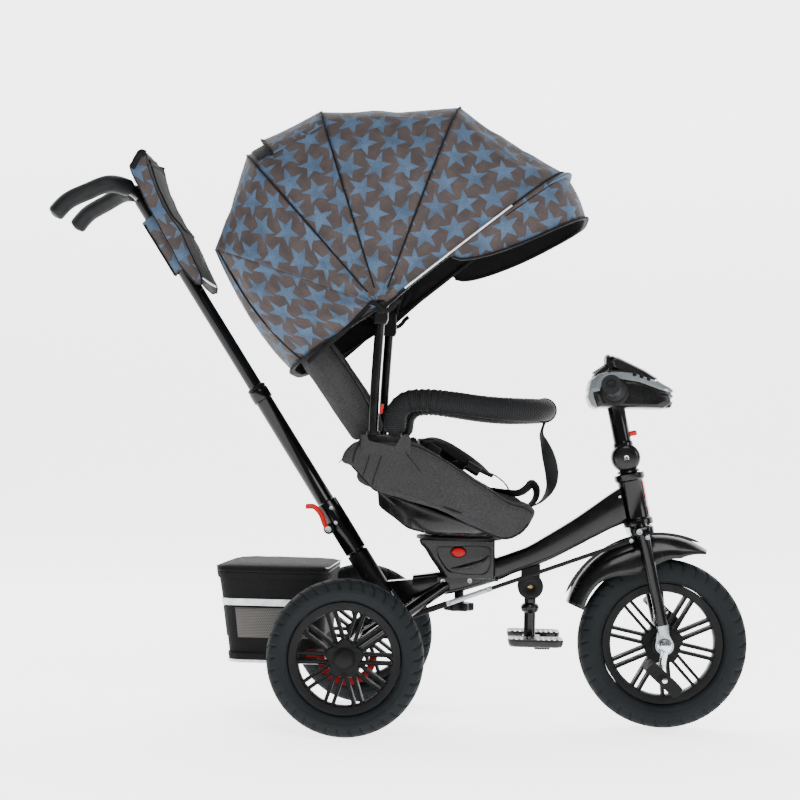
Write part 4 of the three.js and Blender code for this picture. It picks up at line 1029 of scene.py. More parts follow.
def fender():
    """One curved shell with deep sides amidships, swept to a rounded tip in front and behind."""
    rows = []
    for r in range(49):
        degrees = 54 + 92 * r / 48
        angle = math.radians(degrees)
        skirt = 26 + 28 * math.exp(-(((degrees - 97) / 20) ** 2))
        ends = 8 * abs((degrees - 100) / 46) ** 3
        skirt *= min(1, 0.12 + (degrees - 54) / 16)
        row = []
        for c in range(33):
            v = 2 * c / 32 - 1
            drop = skirt * abs(v) ** 3.4 + 4 * v * v
            y = 35 * math.copysign(min(1, abs(v) * 1.15), v)
            lip = 1.3 * max(0, abs(v) - 0.9) * 10 * 0.4
            reach = 184 - drop - ends
            row.append(on_fork(reach * math.cos(angle), y + math.copysign(lip, v), reach * math.sin(angle)))
        rows.append(row)
    shell = piece("fender_shell", *skin(rows, around=False), GLOSS_PLASTIC, "steering",
                  replaces=["front_fender"], slot="gloss_black_plastic", smooth=80)
    wall = shell.modifiers.new("thickness", "SOLIDIFY")
    wall.thickness, wall.offset = 0.0024, 0.0
    rib = []
    for r in range(40):
        angle = math.radians(58 + 84 * r / 39)
        rib.append(on_fork(184.4 * math.cos(angle), 0, 184.4 * math.sin(angle)) - STEER_AXIS * 0.001)
    piece("fender_crease", *skin(carried(rib, lambda t: [(u * math.sin(math.pi * t) ** 0.5 + 0.00001, v)
                                                         for u, v in strip(0.012, 0.0016)], (0, 1, 0))),
          GLOSS_PLASTIC, "steering", slot="gloss_black_plastic")
    stays = []
    for sign in (-1, 1):
        stays.append(bolt(on_fork(0, sign * 35.6, 148), (0, sign, 0), 4, 2.2))
    piece("fender_screws", *merged(*stays), ZINC, "steering", slot="zinc_steel")


def pedals():
    """Each pedal: a hub with two ribbed rubber treads and end plates."""
    for side, sign in SIDES:
        centre = pivot(f"pedal_{side}_spin")
        tilt = math.radians(-42)
        along = Vector((math.cos(tilt), 0, math.sin(tilt)))
        up = Vector((-along.z, 0, along.x))
        middle = sign * 110

        def spot(u, y, v):
            return centre + (along * u + up * v) * MM + Vector((0, (y - middle) * MM, 0))
        hub_piece = lathe(spot(0, middle - 32, 0), (0, 1, 0),
                          softened([(5, 0), (9.5, 0), (9.5, 64), (5, 64)]), 32, True)
        parts = [hub_piece]
        for end in (-30, 26):
            outline = [(u, v) for u, v in rounded_rect(33, -10.5, 10.5, 5, 4)]
            parts.append(skin([[spot(u, middle + end + dy, v) for u, v in outline] for dy in (0, 4)]))
        piece(f"pedal_{side}_body", *merged(*parts), SATIN_BLACK, f"pedal_{side}", replaces=[f"pedal_{side}"],
              slot="satin_black_plastic", bevel=0.0008)
        treads = []
        for reach in (-22, 22):
            block = rounded_rect(10.5, -10, 10, 3, 3)
            steps = [(0, 0.94)]
            for i in range(9):
                y = 2 + 5.6 * i
                steps += [(y, 0.94), (y + 0.6, 1.04), (y + 4.2, 1.04), (y + 4.8, 0.94)]
            treads.append(skin([[spot(reach + u * grow, middle - 26 + y, v * grow) for u, v in block]
                                for y, grow in steps]))
        piece(f"pedal_{side}_treads", *merged(*treads), MATT_BLACK, f"pedal_{side}",
              slot="satin_black_plastic", smooth=30)


def handlebar():
    """Tilting knuckle, stem, crossbar and the two grips."""
    z = 322
    halves = []
    for sign in (-1, 1):
        halves.append(lathe(on_fork(0, sign * 0.4, z), (0, sign, 0),
                            softened([(0, 0), (24.6, 0), (25, 8), (23, 14), (18, 17.5), (8, 18.6),
                                      (0, 18.6)], 1.0), 64))
    piece("knuckle_halves", *merged(*halves), GLOSS_PLASTIC, "handlebar", replaces=["handlebar"],
          slot="gloss_black_plastic", smooth=50)
    screws = [bolt(on_fork(0, sign * 17.4, z), (0, sign, 0), 4.6, 2.4) for sign in (-1, 1)]
    piece("knuckle_screws", *merged(*screws), CHROME, "handlebar", slot="chrome")
    stem = lathe(on_fork(0, 0, 0), STEER_AXIS,
                 softened([(0, z + 16), (17, z + 16), (17, z + 26), (15, z + 28), (15, 432), (0, 432)]), 56)
    piece("stem_tube", *stem, GLOSS_BLACK, "handlebar", slot="gloss_black_frame")
    half = [(-13, 164, 13), (-10, 130, 12), (-6, 95, 10), (-1, 55, 5), (0, 20, 0)]
    left = [on_fork(x, y, 432 + dz) for x, y, dz in half]
    right = [on_fork(x, -y, 432 + dz) for x, y, dz in reversed(half)]
    bar = curve([*left, *right], 70)
    tube("handlebar_crossbar", bar[2:-2], 0.009, GLOSS_BLACK, "handlebar", slot="gloss_black_frame",
         up=(1, 0, 0))
    for side, run in (("left", bar[:23]), ("right", bar[:46:-1])):
        grip(side, run)


def grip(side, run):
    """A rubber grip: flanged inside, ringed along its length and domed at the end, with a recessed cap."""
    path = curve(run, 90)

    def reach(t):
        flange = 0.0065 * math.exp(-(((t - 0.965) / 0.02) ** 2))
        end = 0.0035 * math.exp(-((t / 0.03) ** 2))
        ring = 0.0005 * math.sin(t * 170) if 0.12 < t < 0.88 else 0
        return 0.0128 + flange + end + ring
    tube(f"hand_grip_{side}_rubber", path, reach, BLACK_FOAM, "handlebar", 36, up=(1, 0, 0),
         replaces=[f"hand_grip_{side}"], slot="foam")
    outward = (path[0] - path[1]).normalized()
    cap = softened([(0, 0), (8.4, 0), (8.4, 1.6), (5, 2.4), (3.4, 1.2), (0, 1.2)], 0.4)
    piece(f"hand_grip_{side}_cap", *lathe(path[0] + outward * 0.0002, outward, cap, 40), SATIN_BLACK,
          "handlebar", slot="satin_black_plastic")


def console():
    """The play console on the bar: black shell, silver band, hood, grille, headlight and end mouth."""
    def shell(name, outline, half, material, slot, crown=0.0, bevel=0.0025, **options):
        loops = []
        for i in range(17):
            v = -1 + 2 * i / 16
            pinch = 1 - 0.05 * abs(v) ** 3 - 0.16 * max(0, abs(v) - 0.86) / 0.14
            centre_x = sum(x for x, _ in outline) / len(outline)
            centre_z = sum(z for _, z in outline) / len(outline)
            loops.append([at(centre_x + (x - centre_x) * pinch, v * half,
                             centre_z + (z - centre_z) * pinch - crown * v * v)
                          for x, z in outline])
        return piece(name, *skin(loops), material, "handlebar", slot=slot, bevel=bevel, smooth=40, **options)
    shell("console_lower", [(403, 543), (397, 560), (394, 576), (408, 590), (470, 592), (531, 566),
                            (534, 552), (520, 543)], 46,
          GLOSS_PLASTIC, "gloss_black_plastic", replaces=["handlebar_console"])
    shell("console_band", [(389, 572), (393, 590), (405, 600), (424, 606), (445, 607), (470, 603),
                           (500, 593), (530, 580),
                           (538, 574), (532, 570), (508, 578), (480, 588), (450, 592), (424, 591),
                           (407, 582), (399, 566)],
          47, SILVER_PAINT, "silver_plastic")
    shell("console_core", [(400, 570), (402, 598), (424, 610), (446, 609), (476, 601), (506, 590),
                           (524, 578), (524, 560), (440, 556)],
          45, GLOSS_PLASTIC, "gloss_black_plastic")
    shell("console_hood", [(424, 633), (430, 636), (443, 632), (488, 611), (512, 596), (500, 595),
                           (470, 604), (440, 612), (430, 616)],
          36, GLOSS_PLASTIC, "gloss_black_plastic", crown=5)
    shell("console_hood_back", [(420, 634), (426, 637), (431, 628), (436, 612), (428, 608), (420, 620)], 30,
          SATIN_BLACK, "satin_black_plastic", crown=4, bevel=0.0015)
    shell("console_speaker", [(398, 596), (403, 604), (418, 617), (426, 616), (420, 604), (404, 594)], 32,
          SATIN_BLACK, "satin_black_plastic", crown=2, bevel=0.0012)
    shell("console_cheek", [(392, 575), (389, 561), (396, 545), (406, 541), (412, 544), (402, 562),
                            (402, 574)], 40,
          SILVER_PAINT, "silver_plastic", bevel=0.002)
    shell("console_mouth_upper", [(506, 586), (531, 574), (537, 566), (531, 560), (512, 571)], 30,
          SILVER_PAINT, "silver_plastic", crown=2, bevel=0.0015)
    shell("console_mouth_lower", [(506, 556), (536, 556), (532, 545), (506, 543)], 34, GLOSS_PLASTIC,
          "gloss_black_plastic", bevel=0.0015)
    lamp = softened([(0, 0), (13, 0), (13, 2), (9, 5), (0, 6.4)], 1.0)
    piece("headlight", *lathe(at(520, 0, 566), (1, 0, 0.1), lamp, 48), CLEAR_LENS, "handlebar",
          slot="silver_plastic")
    slats = []
    for i in range(6):
        x, z = 401 + 3.6 * i, 603 + 2.5 * i
        path = [at(x, y, z + 1.2) for y in (-24, -12, 0, 12, 24)]
        slats.append(skin(carried(path, strip(0.0022, 0.0022))))
    piece("console_grille", *merged(*slats), SATIN_BLACK, "handlebar", slot="satin_black_plastic")
    for side, sign in SIDES:
        rosette = softened([(9.6, 0), (24, 0), (25, 2), (23, 5), (17, 6.6), (15.5, 5), (9.6, 5)], 0.8)
        centre = on_fork(-1, sign * 44, 436)
        piece(f"console_rosette_{side}", *lathe(centre, (0, sign, 0), rosette, 64, True), SATIN_BLACK,
              "handlebar", slot="satin_black_plastic")
        for index, (x, z) in enumerate(((468, 600), (480, 597), (492, 593))):
            button = plug(at(x, sign * 45.2, z), (0, sign, 0.15), 3.6, 2.2, 0.8, 24)
            piece(f"console_button_{side}_{index + 1}", *button, SATIN_BLACK, "handlebar",
                  slot="satin_black_plastic")
        blade = [(505, 592), (529, 578), (534, 570), (522, 575), (506, 584)]
        piece(f"console_flash_{side}", *plate(blade, *sorted((sign * 40.5, sign * 44.5))), SILVER_PAINT,
              "handlebar", slot="silver_plastic", bevel=0.0015)


# ------------------------------------------------------------------ padded pieces
def puffed(obj, voxel, pressure, cap, smooth_steps=2):
    """Fills a closed piece like a cushion: remesh, blow it up with Cloth and limit how far points moved."""
    bpy.context.view_layer.objects.active = obj
    rebuilt = obj.modifiers.new("rebuilt", "REMESH")
    rebuilt.mode, rebuilt.voxel_size, rebuilt.use_smooth_shade = "VOXEL", voxel, True
    freeze(obj)
    start = [vertex.co.copy() for vertex in obj.data.vertices]
    cloth = obj.modifiers.new("cloth", "CLOTH")
    cloth.settings.use_pressure = True
    cloth.settings.uniform_pressure_force = pressure
    cloth.settings.effector_weights.gravity = 0.0
    cloth.settings.quality = 4
    cloth.settings.tension_stiffness = cloth.settings.compression_stiffness = 25
    cloth.settings.mass = 0.3
    cloth.collision_settings.use_collision = False
    cloth.point_cache.frame_start, cloth.point_cache.frame_end = 1, 20
    scene = bpy.context.scene
    for step in range(1, 21):
        scene.frame_set(step)
    freeze(obj)
    scene.frame_set(1)
    for vertex, before in zip(obj.data.vertices, start):
        moved = vertex.co - before
        if moved.length > cap:
            vertex.co = before + moved * (cap / moved.length)
    edit = bmesh.new()
    edit.from_mesh(obj.data)
    for _ in range(smooth_steps):
        bmesh.ops.smooth_vert(edit, verts=edit.verts, factor=0.5, use_axis_x=True, use_axis_y=True,
                              use_axis_z=True)
    edit.to_mesh(obj.data)
    edit.free()
    obj.data.shade_smooth()
    finer = obj.modifiers.new("surface", "SUBSURF")
    finer.levels = finer.render_levels = 1
    return obj


def freeze(obj):
    """Applies every modifier, keeping the materials."""
    graph = bpy.context.evaluated_depsgraph_get()
    graph.update()
    made = bpy.data.meshes.new_from_object(obj.evaluated_get(graph))
    obj.modifiers.clear()
    obj.data = made


def wrinkle(obj, scale, depth, seed=0.0, along=(1, 1, 1)):
    """Moves a cloth's points a little along their normals, by smooth noise."""
    for vertex in obj.data.vertices:
        spot = Vector(p * a for p, a in zip(vertex.co, along)) * scale + Vector((seed, seed * 1.7, 0))
        vertex.co += vertex.normal * noise.fractal(spot, 0.8, 2.0, 3) * depth


def surface_of(*objects):
    """A tree to cast rays on, of the pieces as they show."""
    graph = bpy.context.evaluated_depsgraph_get()
    graph.update()
    points, faces = [], []
    for obj in objects:
        shown = obj.evaluated_get(graph)
        mesh = shown.to_mesh()
        start = len(points)
        points += [shown.matrix_world @ vertex.co for vertex in mesh.vertices]
        faces += [[start + i for i in face.vertices] for face in mesh.polygons]
        shown.to_mesh_clear()
    return BVHTree.FromPolygons(points, faces)


def projected(tree, path, away, lift):
    """Points of a path moved onto a surface along a direction, and lifted off it by some metres."""
    away = Vector(away).normalized()
    found = []
    for point in path:
        hit, normal, _, _ = tree.ray_cast(point + away * 0.3, -away, 0.6)
        if hit:
            found.append(hit + normal * lift)
    return found


def seam(name, tree, path, away, body, material=None, radius=0.0011, stitched=False, lift=0.0003,
         slot="black_fabric"):
    """A piped or stitched line that lies on a padded surface."""
    line = projected(tree, path, away, lift)
    if len(line) < 4:
        return None
    if not stitched:
        return piece(name, *skin(carried(line, circle(radius, 8), away)), material or PIPING, body,
                     slot=slot, smooth=80)
    total = sum((b - a).length for a, b in zip(line, line[1:]))
    fine = curve(line, max(8, int(total / 0.0011)))
    stitches = []
    for i in range(0, len(fine) - 3, 4):
        stitches.append(skin(carried(fine[i:i + 3], circle(0.00045, 6), away)))
    return piece(name, *merged(*stitches), material or GREY_WEBBING, body, slot=slot, smooth=80)


# ------------------------------------------------------------------ seat
def wing_outer(x):
    return 150 - 0.0025 * max(0, x - 120) ** 2


def wing_inner(x):
    return wing_outer(x) - 22 - 0.12 * max(0, x - 120)


WING = [(-22, 446, 441), (-14, 464, 437), (0, 477, 429), (19, 482, 409), (38, 481, 391), (84, 480, 376),
        (103, 478, 371),
        (139, 462, 361), (169, 444, 348), (203, 422, 333), (228, 407, 322), (250, 392, 315),
        (264, 385, 317), (281, 381, 326), (292, 376, 339), (301, 369, 359)]


def seat_wings():
    for side, sign in SIDES:
        loops = []
        for x, high, low in spread(WING, 60):
            middle, half = (wing_outer(x) + wing_inner(x)) / 2, (wing_outer(x) - wing_inner(x)) / 2
            loops.append([at(x, sign * (y + middle), z)
                          for y, z in rounded_rect(half - 1.5, low + 1, high - 1, 7, 3)])
        wing = piece(f"seat_wing_{side}_cover", *skin(loops), GREY_CLOTH, replaces=[f"seat_wing_{side}"],
                     slot="grey_fabric")
        puffed(wing, 0.005, 3.0, 0.005)
        wrinkle(wing, 22, 0.0012, 3.1 * sign, (0.6, 1, 1.3))
        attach(wing, "seat")
        wing_details(side, sign, surface_of(wing))


def wing_details(side, sign, tree):
    away = (0, sign, 0)

    def line(points, count=60):
        return curve([at(x, 0, z) for x, z in points], count)
    top = [(x, high - 9) for x, high, _ in WING[6:-1]]
    seam(f"wing_{side}_top_piping", tree, line([(84, 470), *top, (298, 361)], 90), away, "seat")
    seam(f"wing_{side}_top_stitch", tree, line([(86, 463), *[(x, z - 6) for x, z in top]], 90), away,
         "seat", stitched=True)
    low = [(x, z + 5) for x, _, z in WING[2:-1]]
    seam(f"wing_{side}_edge_binding", tree, line(low, 90), away, "seat", radius=0.0017)
    for name, shift in (("rear", 0), ("front", 20)):
        seam(f"wing_{side}_strip_{name}", tree,
             line([(28 + shift, 452), (20 + shift * 0.95, 425), (12 + shift * 0.95, 402 - shift * 0.3)], 40),
             away, "seat", radius=0.0008)
    seam(f"wing_{side}_lobe_seam", tree, line([(14, 474), (8, 466), (3, 454), (1, 441)], 40), away, "seat",
         radius=0.0012)
    seam(f"wing_{side}_pocket", tree, line([(86, 461), (92, 452), (104, 438), (112, 428)], 40), away,
         "seat", radius=0.0006)
    seam(f"wing_{side}_front_dart", tree, line([(243, 398), (250, 392), (252, 386)], 20), away, "seat",
         radius=0.0007)
    seam(f"wing_{side}_under_seam", tree, line([(60, 400), (110, 384), (160, 366), (204, 350), (246, 334)],
                                               80), away, "seat",
         stitched=True)
    slit = projected(tree, line([(150, 372), (160, 368), (172, 364), (182, 361)], 24), away, 0.0001)
    piece(f"wing_{side}_slit", *skin(carried(slit,
                                             lambda t: [(u * (0.25 + math.sin(math.pi * t)), v)
                                                        for u, v in strip(0.0034, 0.0012)],
                                             away)), PIPING, "seat", slot="black_fabric")
    flap = []
    for i in range(25):
        t = i / 24
        centre = Vector((9 - 29 * t, 0, 474 - 26 * t - 5 * t * t))
        width = 20 * math.sqrt(max(0.02, 1 - max(0, t - 0.45) ** 2 / 0.31)) * (0.75 + 0.25 * min(1, t * 3))
        flap.append([at(centre.x + u * 0.62 * width / 17, sign * (140 + v), centre.z + u * 0.78 * width / 17)
                     for u, v in rounded_rect(16, -13, 13, 11, 4)])
    lobe = piece(f"wing_{side}_lobe", *skin(flap), GREY_CLOTH, "seat", slot="grey_fabric", smooth=60)


def seat_shell():
    """The moulded tub under the cloth, with a rolled rim."""
    stations = [(46, 396, 380), (50, 395, 368), (60, 392, 355), (75, 389, 342), (84, 386, 335),
                (96, 383, 329), (130, 376, 322), (150, 372, 320.5),
                (200, 361, 320), (236, 354, 320.5), (248, 351, 334)]
    loops = []
    for x, high, low in spread(stations, 50):
        half = min(98, wing_inner(x) - 3)
        loops.append([at(x, y, z) for y, z in rounded_rect(half, low, high, min(26, (high - low) * 0.48), 6)])
    piece("seat_tub_shell", *skin(loops), GLOSS_PLASTIC, "seat", replaces=["seat_tub"],
          slot="gloss_black_plastic", smooth=50)
    for side, sign in SIDES:
        edge = [(40, 404, 124), (56, 393, 124), (90, 379, 123), (130, 363, 121), (170, 349, 116),
                (205, 337, 110), (232, 328, 103)]
        path = curve([at(x, sign * y, z) for x, z, y in edge], 60)
        flange = [(u * MM, v * MM) for u, v in ((-3.2, 0), (-3, 2), (0, 3), (3, 2), (3.2, 0), (3, -2),
                                                (0, -3), (-3, -2))]
        piece(f"seat_tub_rim_{side}", *skin(carried(path, flange)), GLOSS_PLASTIC, "seat",
              slot="gloss_black_plastic", smooth=80)
        skirt = []
        for x, z, y in edge:
            t = (x - 40) / 192
            reach = min(98, wing_inner(x) - 3)
            bottom = 323 + 48 * max(0, 0.32 - t) * 2.8
            skirt.append([at(x, sign * y, z), at(x + 1, sign * (y - 6), z - (z - bottom) * 0.35),
                          at(x + 2, sign * (reach + 2), bottom + (z - bottom) * 0.2),
                          at(x + 2, sign * (reach - 6), bottom + 2)])
        panel = piece(f"seat_tub_flank_{side}", *skin(skirt, around=False), GLOSS_PLASTIC, "seat",
                      slot="gloss_black_plastic", subdivide=3)
        wall = panel.modifiers.new("thickness", "SOLIDIFY")
        wall.thickness, wall.offset = 0.002, 0
    plate_profile = softened([(0, 312.6), (73, 312.6), (74, 314), (74, 318), (72, 319.5), (0, 319.5)], 0.8)
    piece("turntable_disc", *lathe(at(176, 0, 0), (0, 0, 1), plate_profile, 96), SATIN_BLACK, "seat",
          replaces=["turntable"], slot="satin_black_plastic")


def seat_cushion():
    stations = [(2, 430, 409), (60, 423, 396), (120, 412, 384), (180, 401, 372), (230, 392, 362),
                (270, 385, 353), (288, 378, 354), (296, 372, 359)]
    loops = []
    for x, high, low in spread(stations, 40):
        loops.append([at(x, y, z) for y, z in rounded_rect(wing_inner(x) - 6, low + 1, high - 1, 9, 3)])
    pad = piece("seat_cushion_cover", *skin(loops), GREY_CLOTH, replaces=["seat_cushion"], slot="grey_fabric")
    puffed(pad, 0.006, 4.0, 0.006)
    for vertex in pad.data.vertices:
        x, y = (vertex.co.x - REAR.x) / MM, vertex.co.y / MM
        channel = (math.exp(-((x - 95) / 5) ** 2) + math.exp(-((x - 190) / 5) ** 2)
                   + math.exp(-((abs(y) - 62) / 5) ** 2))
        if vertex.normal.z > 0.3:
            vertex.co.z -= 0.003 * min(1, channel)
    wrinkle(pad, 25, 0.001, 5)
    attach(pad, "seat")
    tree = surface_of(pad)
    for index, x in enumerate((95, 190)):
        path = [at(x, y, 380) for y in range(-84, 85, 6)]
        seam(f"cushion_channel_{index + 1}", tree, path, (0, 0, 1), "seat", stitched=True)
    for side, sign in SIDES:
        path = [at(x, sign * 62, 380) for x in range(14, 262, 8)]
        seam(f"cushion_channel_{side}", tree, path, (0, 0, 1), "seat", stitched=True)


def backrest():
    """A padded back with two side bolsters and sewn channels."""
    stations = [(10, 112, 58), (40, 118, 66), (90, 121, 70), (150, 121, 70), (200, 116, 66), (240, 106, 60),
                (264, 94, 54), (280, 76, 46)]
    loops = []
    for s, half, depth in spread(stations, 44):
        inner = half - 28
        loop = [(-half, 26), (-half + 7, 17), (-inner, 15.5), (0, 15.5), (inner, 15.5), (half - 7, 17),
                (half, 26), (half, depth - 8),
                (half - 7, depth + 2), (inner + 9, depth + 2), (inner + 1, depth - 8), (inner - 6, 41),
                (inner * 0.5, 38), (0, 37),
                (-inner * 0.5, 38), (-inner + 6, 41), (-inner - 1, depth - 8), (-inner - 9, depth + 2),
                (-half + 7, depth + 2), (-half, depth - 8)]
        loops.append([on_back(s, n, y) for y, n in loop])
    pad = piece("backrest_cover", *skin(loops), GREY_CLOTH, replaces=["backrest"], slot="grey_fabric")
    puffed(pad, 0.006, 3.0, 0.006)
    wrinkle(pad, 18, 0.0016, 9)
    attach(pad, "backrest")
    tree = surface_of(pad)
    forward = on_back(0, 1, 0) - on_back(0, 0, 0)
    for index, s in enumerate((95, 180)):
        seam(f"back_channel_{index + 1}", tree, [on_back(s, 0, y) for y in range(-78, 79, 6)], forward,
             "backrest", stitched=True)
    for side, sign in SIDES:
        seam(f"back_edge_piping_{side}", tree,
             curve([on_back(s, n, 0) for s, n in ((14, 56), (60, 66), (150, 68), (230, 60), (275, 46))], 80),
             (0, sign, 0), "backrest", radius=0.0014)
        seam(f"back_flank_seam_{side}", tree, curve([on_back(s, n, 0) for s,
                                                     n in ((10, 30), (90, 34), (190, 32), (270, 30))], 80),
             (0, sign, 0), "backrest", stitched=True)
        seam(f"back_inner_seam_{side}", tree, [on_back(s, 0, sign * 88) for s in range(16, 262, 8)],
             forward, "backrest", stitched=True)


def seat_fittings():
    """The side sockets with their cloth pockets and collars, the canopy posts, their brackets and tags."""
    for side, sign in SIDES:
        block = []
        for z, grow in ((462, -2), (463.5, 0), (485, 0), (487, -1), (488, -3)):
            block.append([at(50 + u, sign * 137 + v, z)
                          for u, v in rounded_rect(29.5 + grow, -10 - grow, 10 + grow, 5, 4)])
        piece(f"seat_socket_{side}_block", *skin(block), GLOSS_PLASTIC, "seat",
              replaces=[f"seat_socket_{side}"], slot="gloss_black_plastic", smooth=50)
        outline = spread([(12, 456), (11, 470), (12, 486), (17, 488), (21, 485), (26, 477), (46, 473),
                          (70, 469), (75, 474),
                          (82, 486), (88, 489), (94, 484), (96, 470), (94, 456), (70, 452), (40, 453)], 96)
        outline = [p for k, p in enumerate(outline) if k == 0 or p != outline[k - 1]]
        pocket = []
        for y, shrink in ((146.5, 0.0), (148.5, 0.02), (151.5, 0.03), (153, 0.09)):
            pocket.append([at(52 + (x - 52) * (1 - shrink), sign * y, 469 + (z - 469) * (1 - shrink))
                           for x, z in outline])
        cloth = piece(f"socket_pocket_{side}", *skin(pocket), GREY_CLOTH, "seat", slot="grey_fabric",
                      smooth=60)
        rim = [at(x, sign * 152.2, z) for x, z in outline[6:60]]
        piece(f"socket_pocket_binding_{side}", *skin(carried(rim, circle(0.0009, 6), (0, sign, 0))), PIPING,
              "seat", slot="black_fabric", smooth=80)
        collars = [lathe(at(x, sign * 139, 486), (0, 0, 1),
                         softened([(8.6, 0), (11.2, 0), (11.2, 5), (10.2, 7), (8.6, 7)]), 40, True)
                   for x in (32, 68)]
        piece(f"seat_socket_{side}_collars", *merged(*collars), SATIN_BLACK, "seat",
              slot="satin_black_plastic")
        path = curve([at(32, sign * 139, 472), at(32, sign * 139, 500), at(33.5, sign * 139, 560),
                      at(41, sign * 139, 706)], 50)
        oval = [(u * 1.0, v) for u, v in circle(0.008, 32)]
        piece(f"canopy_post_{side}_tube", *skin(carried(path, oval, (1, 0, 0))), GLOSS_BLACK, "seat",
              replaces=[f"canopy_post_{side}"], slot="gloss_black_frame", smooth=60)
        clip = [(-11, -26), (9, -26), (12, -18), (11, 14), (6, 20), (-6, 20), (-11, 12)]
        loops = [[HUB + Vector((u, sign * y, v)) * MM for u, v in clip] for y in (130, 148.4)]
        piece(f"canopy_bracket_{side}", *skin(loops), SATIN_BLACK, "seat", slot="satin_black_plastic",
              bevel=0.002)
        tag = [at(44, sign * 137, 522), at(45.5, sign * 137, 530), at(47, sign * 137, 538)]
        piece(f"post_tag_{side}", *skin(carried(curve(tag, 10), strip(0.0045, 0.001), (0, 1, 0))),
              RED_PLASTIC, "seat", slot="red_plastic")


BAR_HALF = [(68, 139, 472), (68, 139, 492), (68, 139, 505), (72, 139, 527), (87, 138, 542), (114, 137, 546),
            (165, 136, 542),
            (213, 133, 537), (256, 124, 534), (292, 100, 534), (313, 60, 536), (318, 20, 537)]


def bumper_bar():
    """A bent bar in a knitted sleeve over foam, gathered at the bends, with a strap down between the legs."""
    left = [at(*point) for point in BAR_HALF]
    right = [Vector((p.x, -p.y, p.z)) for p in reversed(left)]
    path = curve([*left, *right], 221)
    tube("bumper_bar_tube", path, 0.0078, GLOSS_BLACK, "bumper", replaces=["bumper_bar"],
         slot="gloss_black_frame", up=(1, 0, 0))
    run = path[4:-4]

    def reach(t):
        near_bend = math.exp(-((min(t, 1 - t) - 0.115) / 0.05) ** 2)
        gathers = (0.0011 * near_bend + 0.0003) * math.sin(t * 520)
        return 0.0190 + 0.0006 * math.sin(t * 31) + gathers - 0.0012 * near_bend
    sleeve = tube("bumper_sleeve", run, reach, BAR_MESH, "bumper", 48, rounded=0.016, up=(1, 0, 0),
                  replaces=["bumper_foam"], slot="black_fabric")
    inner = []
    for point in run[2:-2]:
        centre = Vector((at(150, 0, 0).x, 0, point.z))
        inward = (centre - point)
        inward.z = 0
        inner.append(point + inward.normalized() * 0.0188 - Vector((0, 0, 0.003)))
    piece("bumper_sleeve_zip", *skin(carried(inner, strip(0.0022, 0.0016))), PIPING, "bumper",
          slot="black_fabric", smooth=60)
    route = [(319, 0, 517), (316, 0, 508), (314, 0, 496), (319, 0, 482), (326, 0, 461), (333, 0, 430),
             (331, 0, 404), (316, 0, 381), (298, 0, 371)]
    strap = curve([at(*point) for point in route], 70)

    def twisted(t):
        lean = math.radians(62) * math.sin(math.pi * min(1, t * 1.05)) ** 2
        cos, sin = math.cos(lean), math.sin(lean)
        return [(u * cos - v * sin, u * sin + v * cos) for u, v in strip(0.026, 0.0024)]
    piece("crotch_strap_webbing", *skin(carried(strap, twisted, (1, 0, 0))), GREY_WEBBING, "bumper",
          replaces=["crotch_strap"], slot="black_fabric", smooth=60)
    loop = carried(strap[:9], strip(0.031, 0.0042), (1, 0, 0))
    piece("crotch_strap_fold", *skin(loop), WEBBING, "bumper", slot="black_fabric", smooth=60)
    band = []
    centre = at(318, 0, 537)
    for i in range(49):
        angle = math.tau * i / 48
        band.append([centre + Vector((math.cos(angle) * 0.0198, y, math.sin(angle) * 0.0198))
                     for y in (-0.016, -0.0145, 0.0145, 0.016)])
    wrap = piece("crotch_strap_loop", *skin(band, around=False), WEBBING, "bumper", slot="black_fabric",
                 smooth=60)
    wall = wrap.modifiers.new("thickness", "SOLIDIFY")
    wall.thickness, wall.offset = 0.0016, 1.0


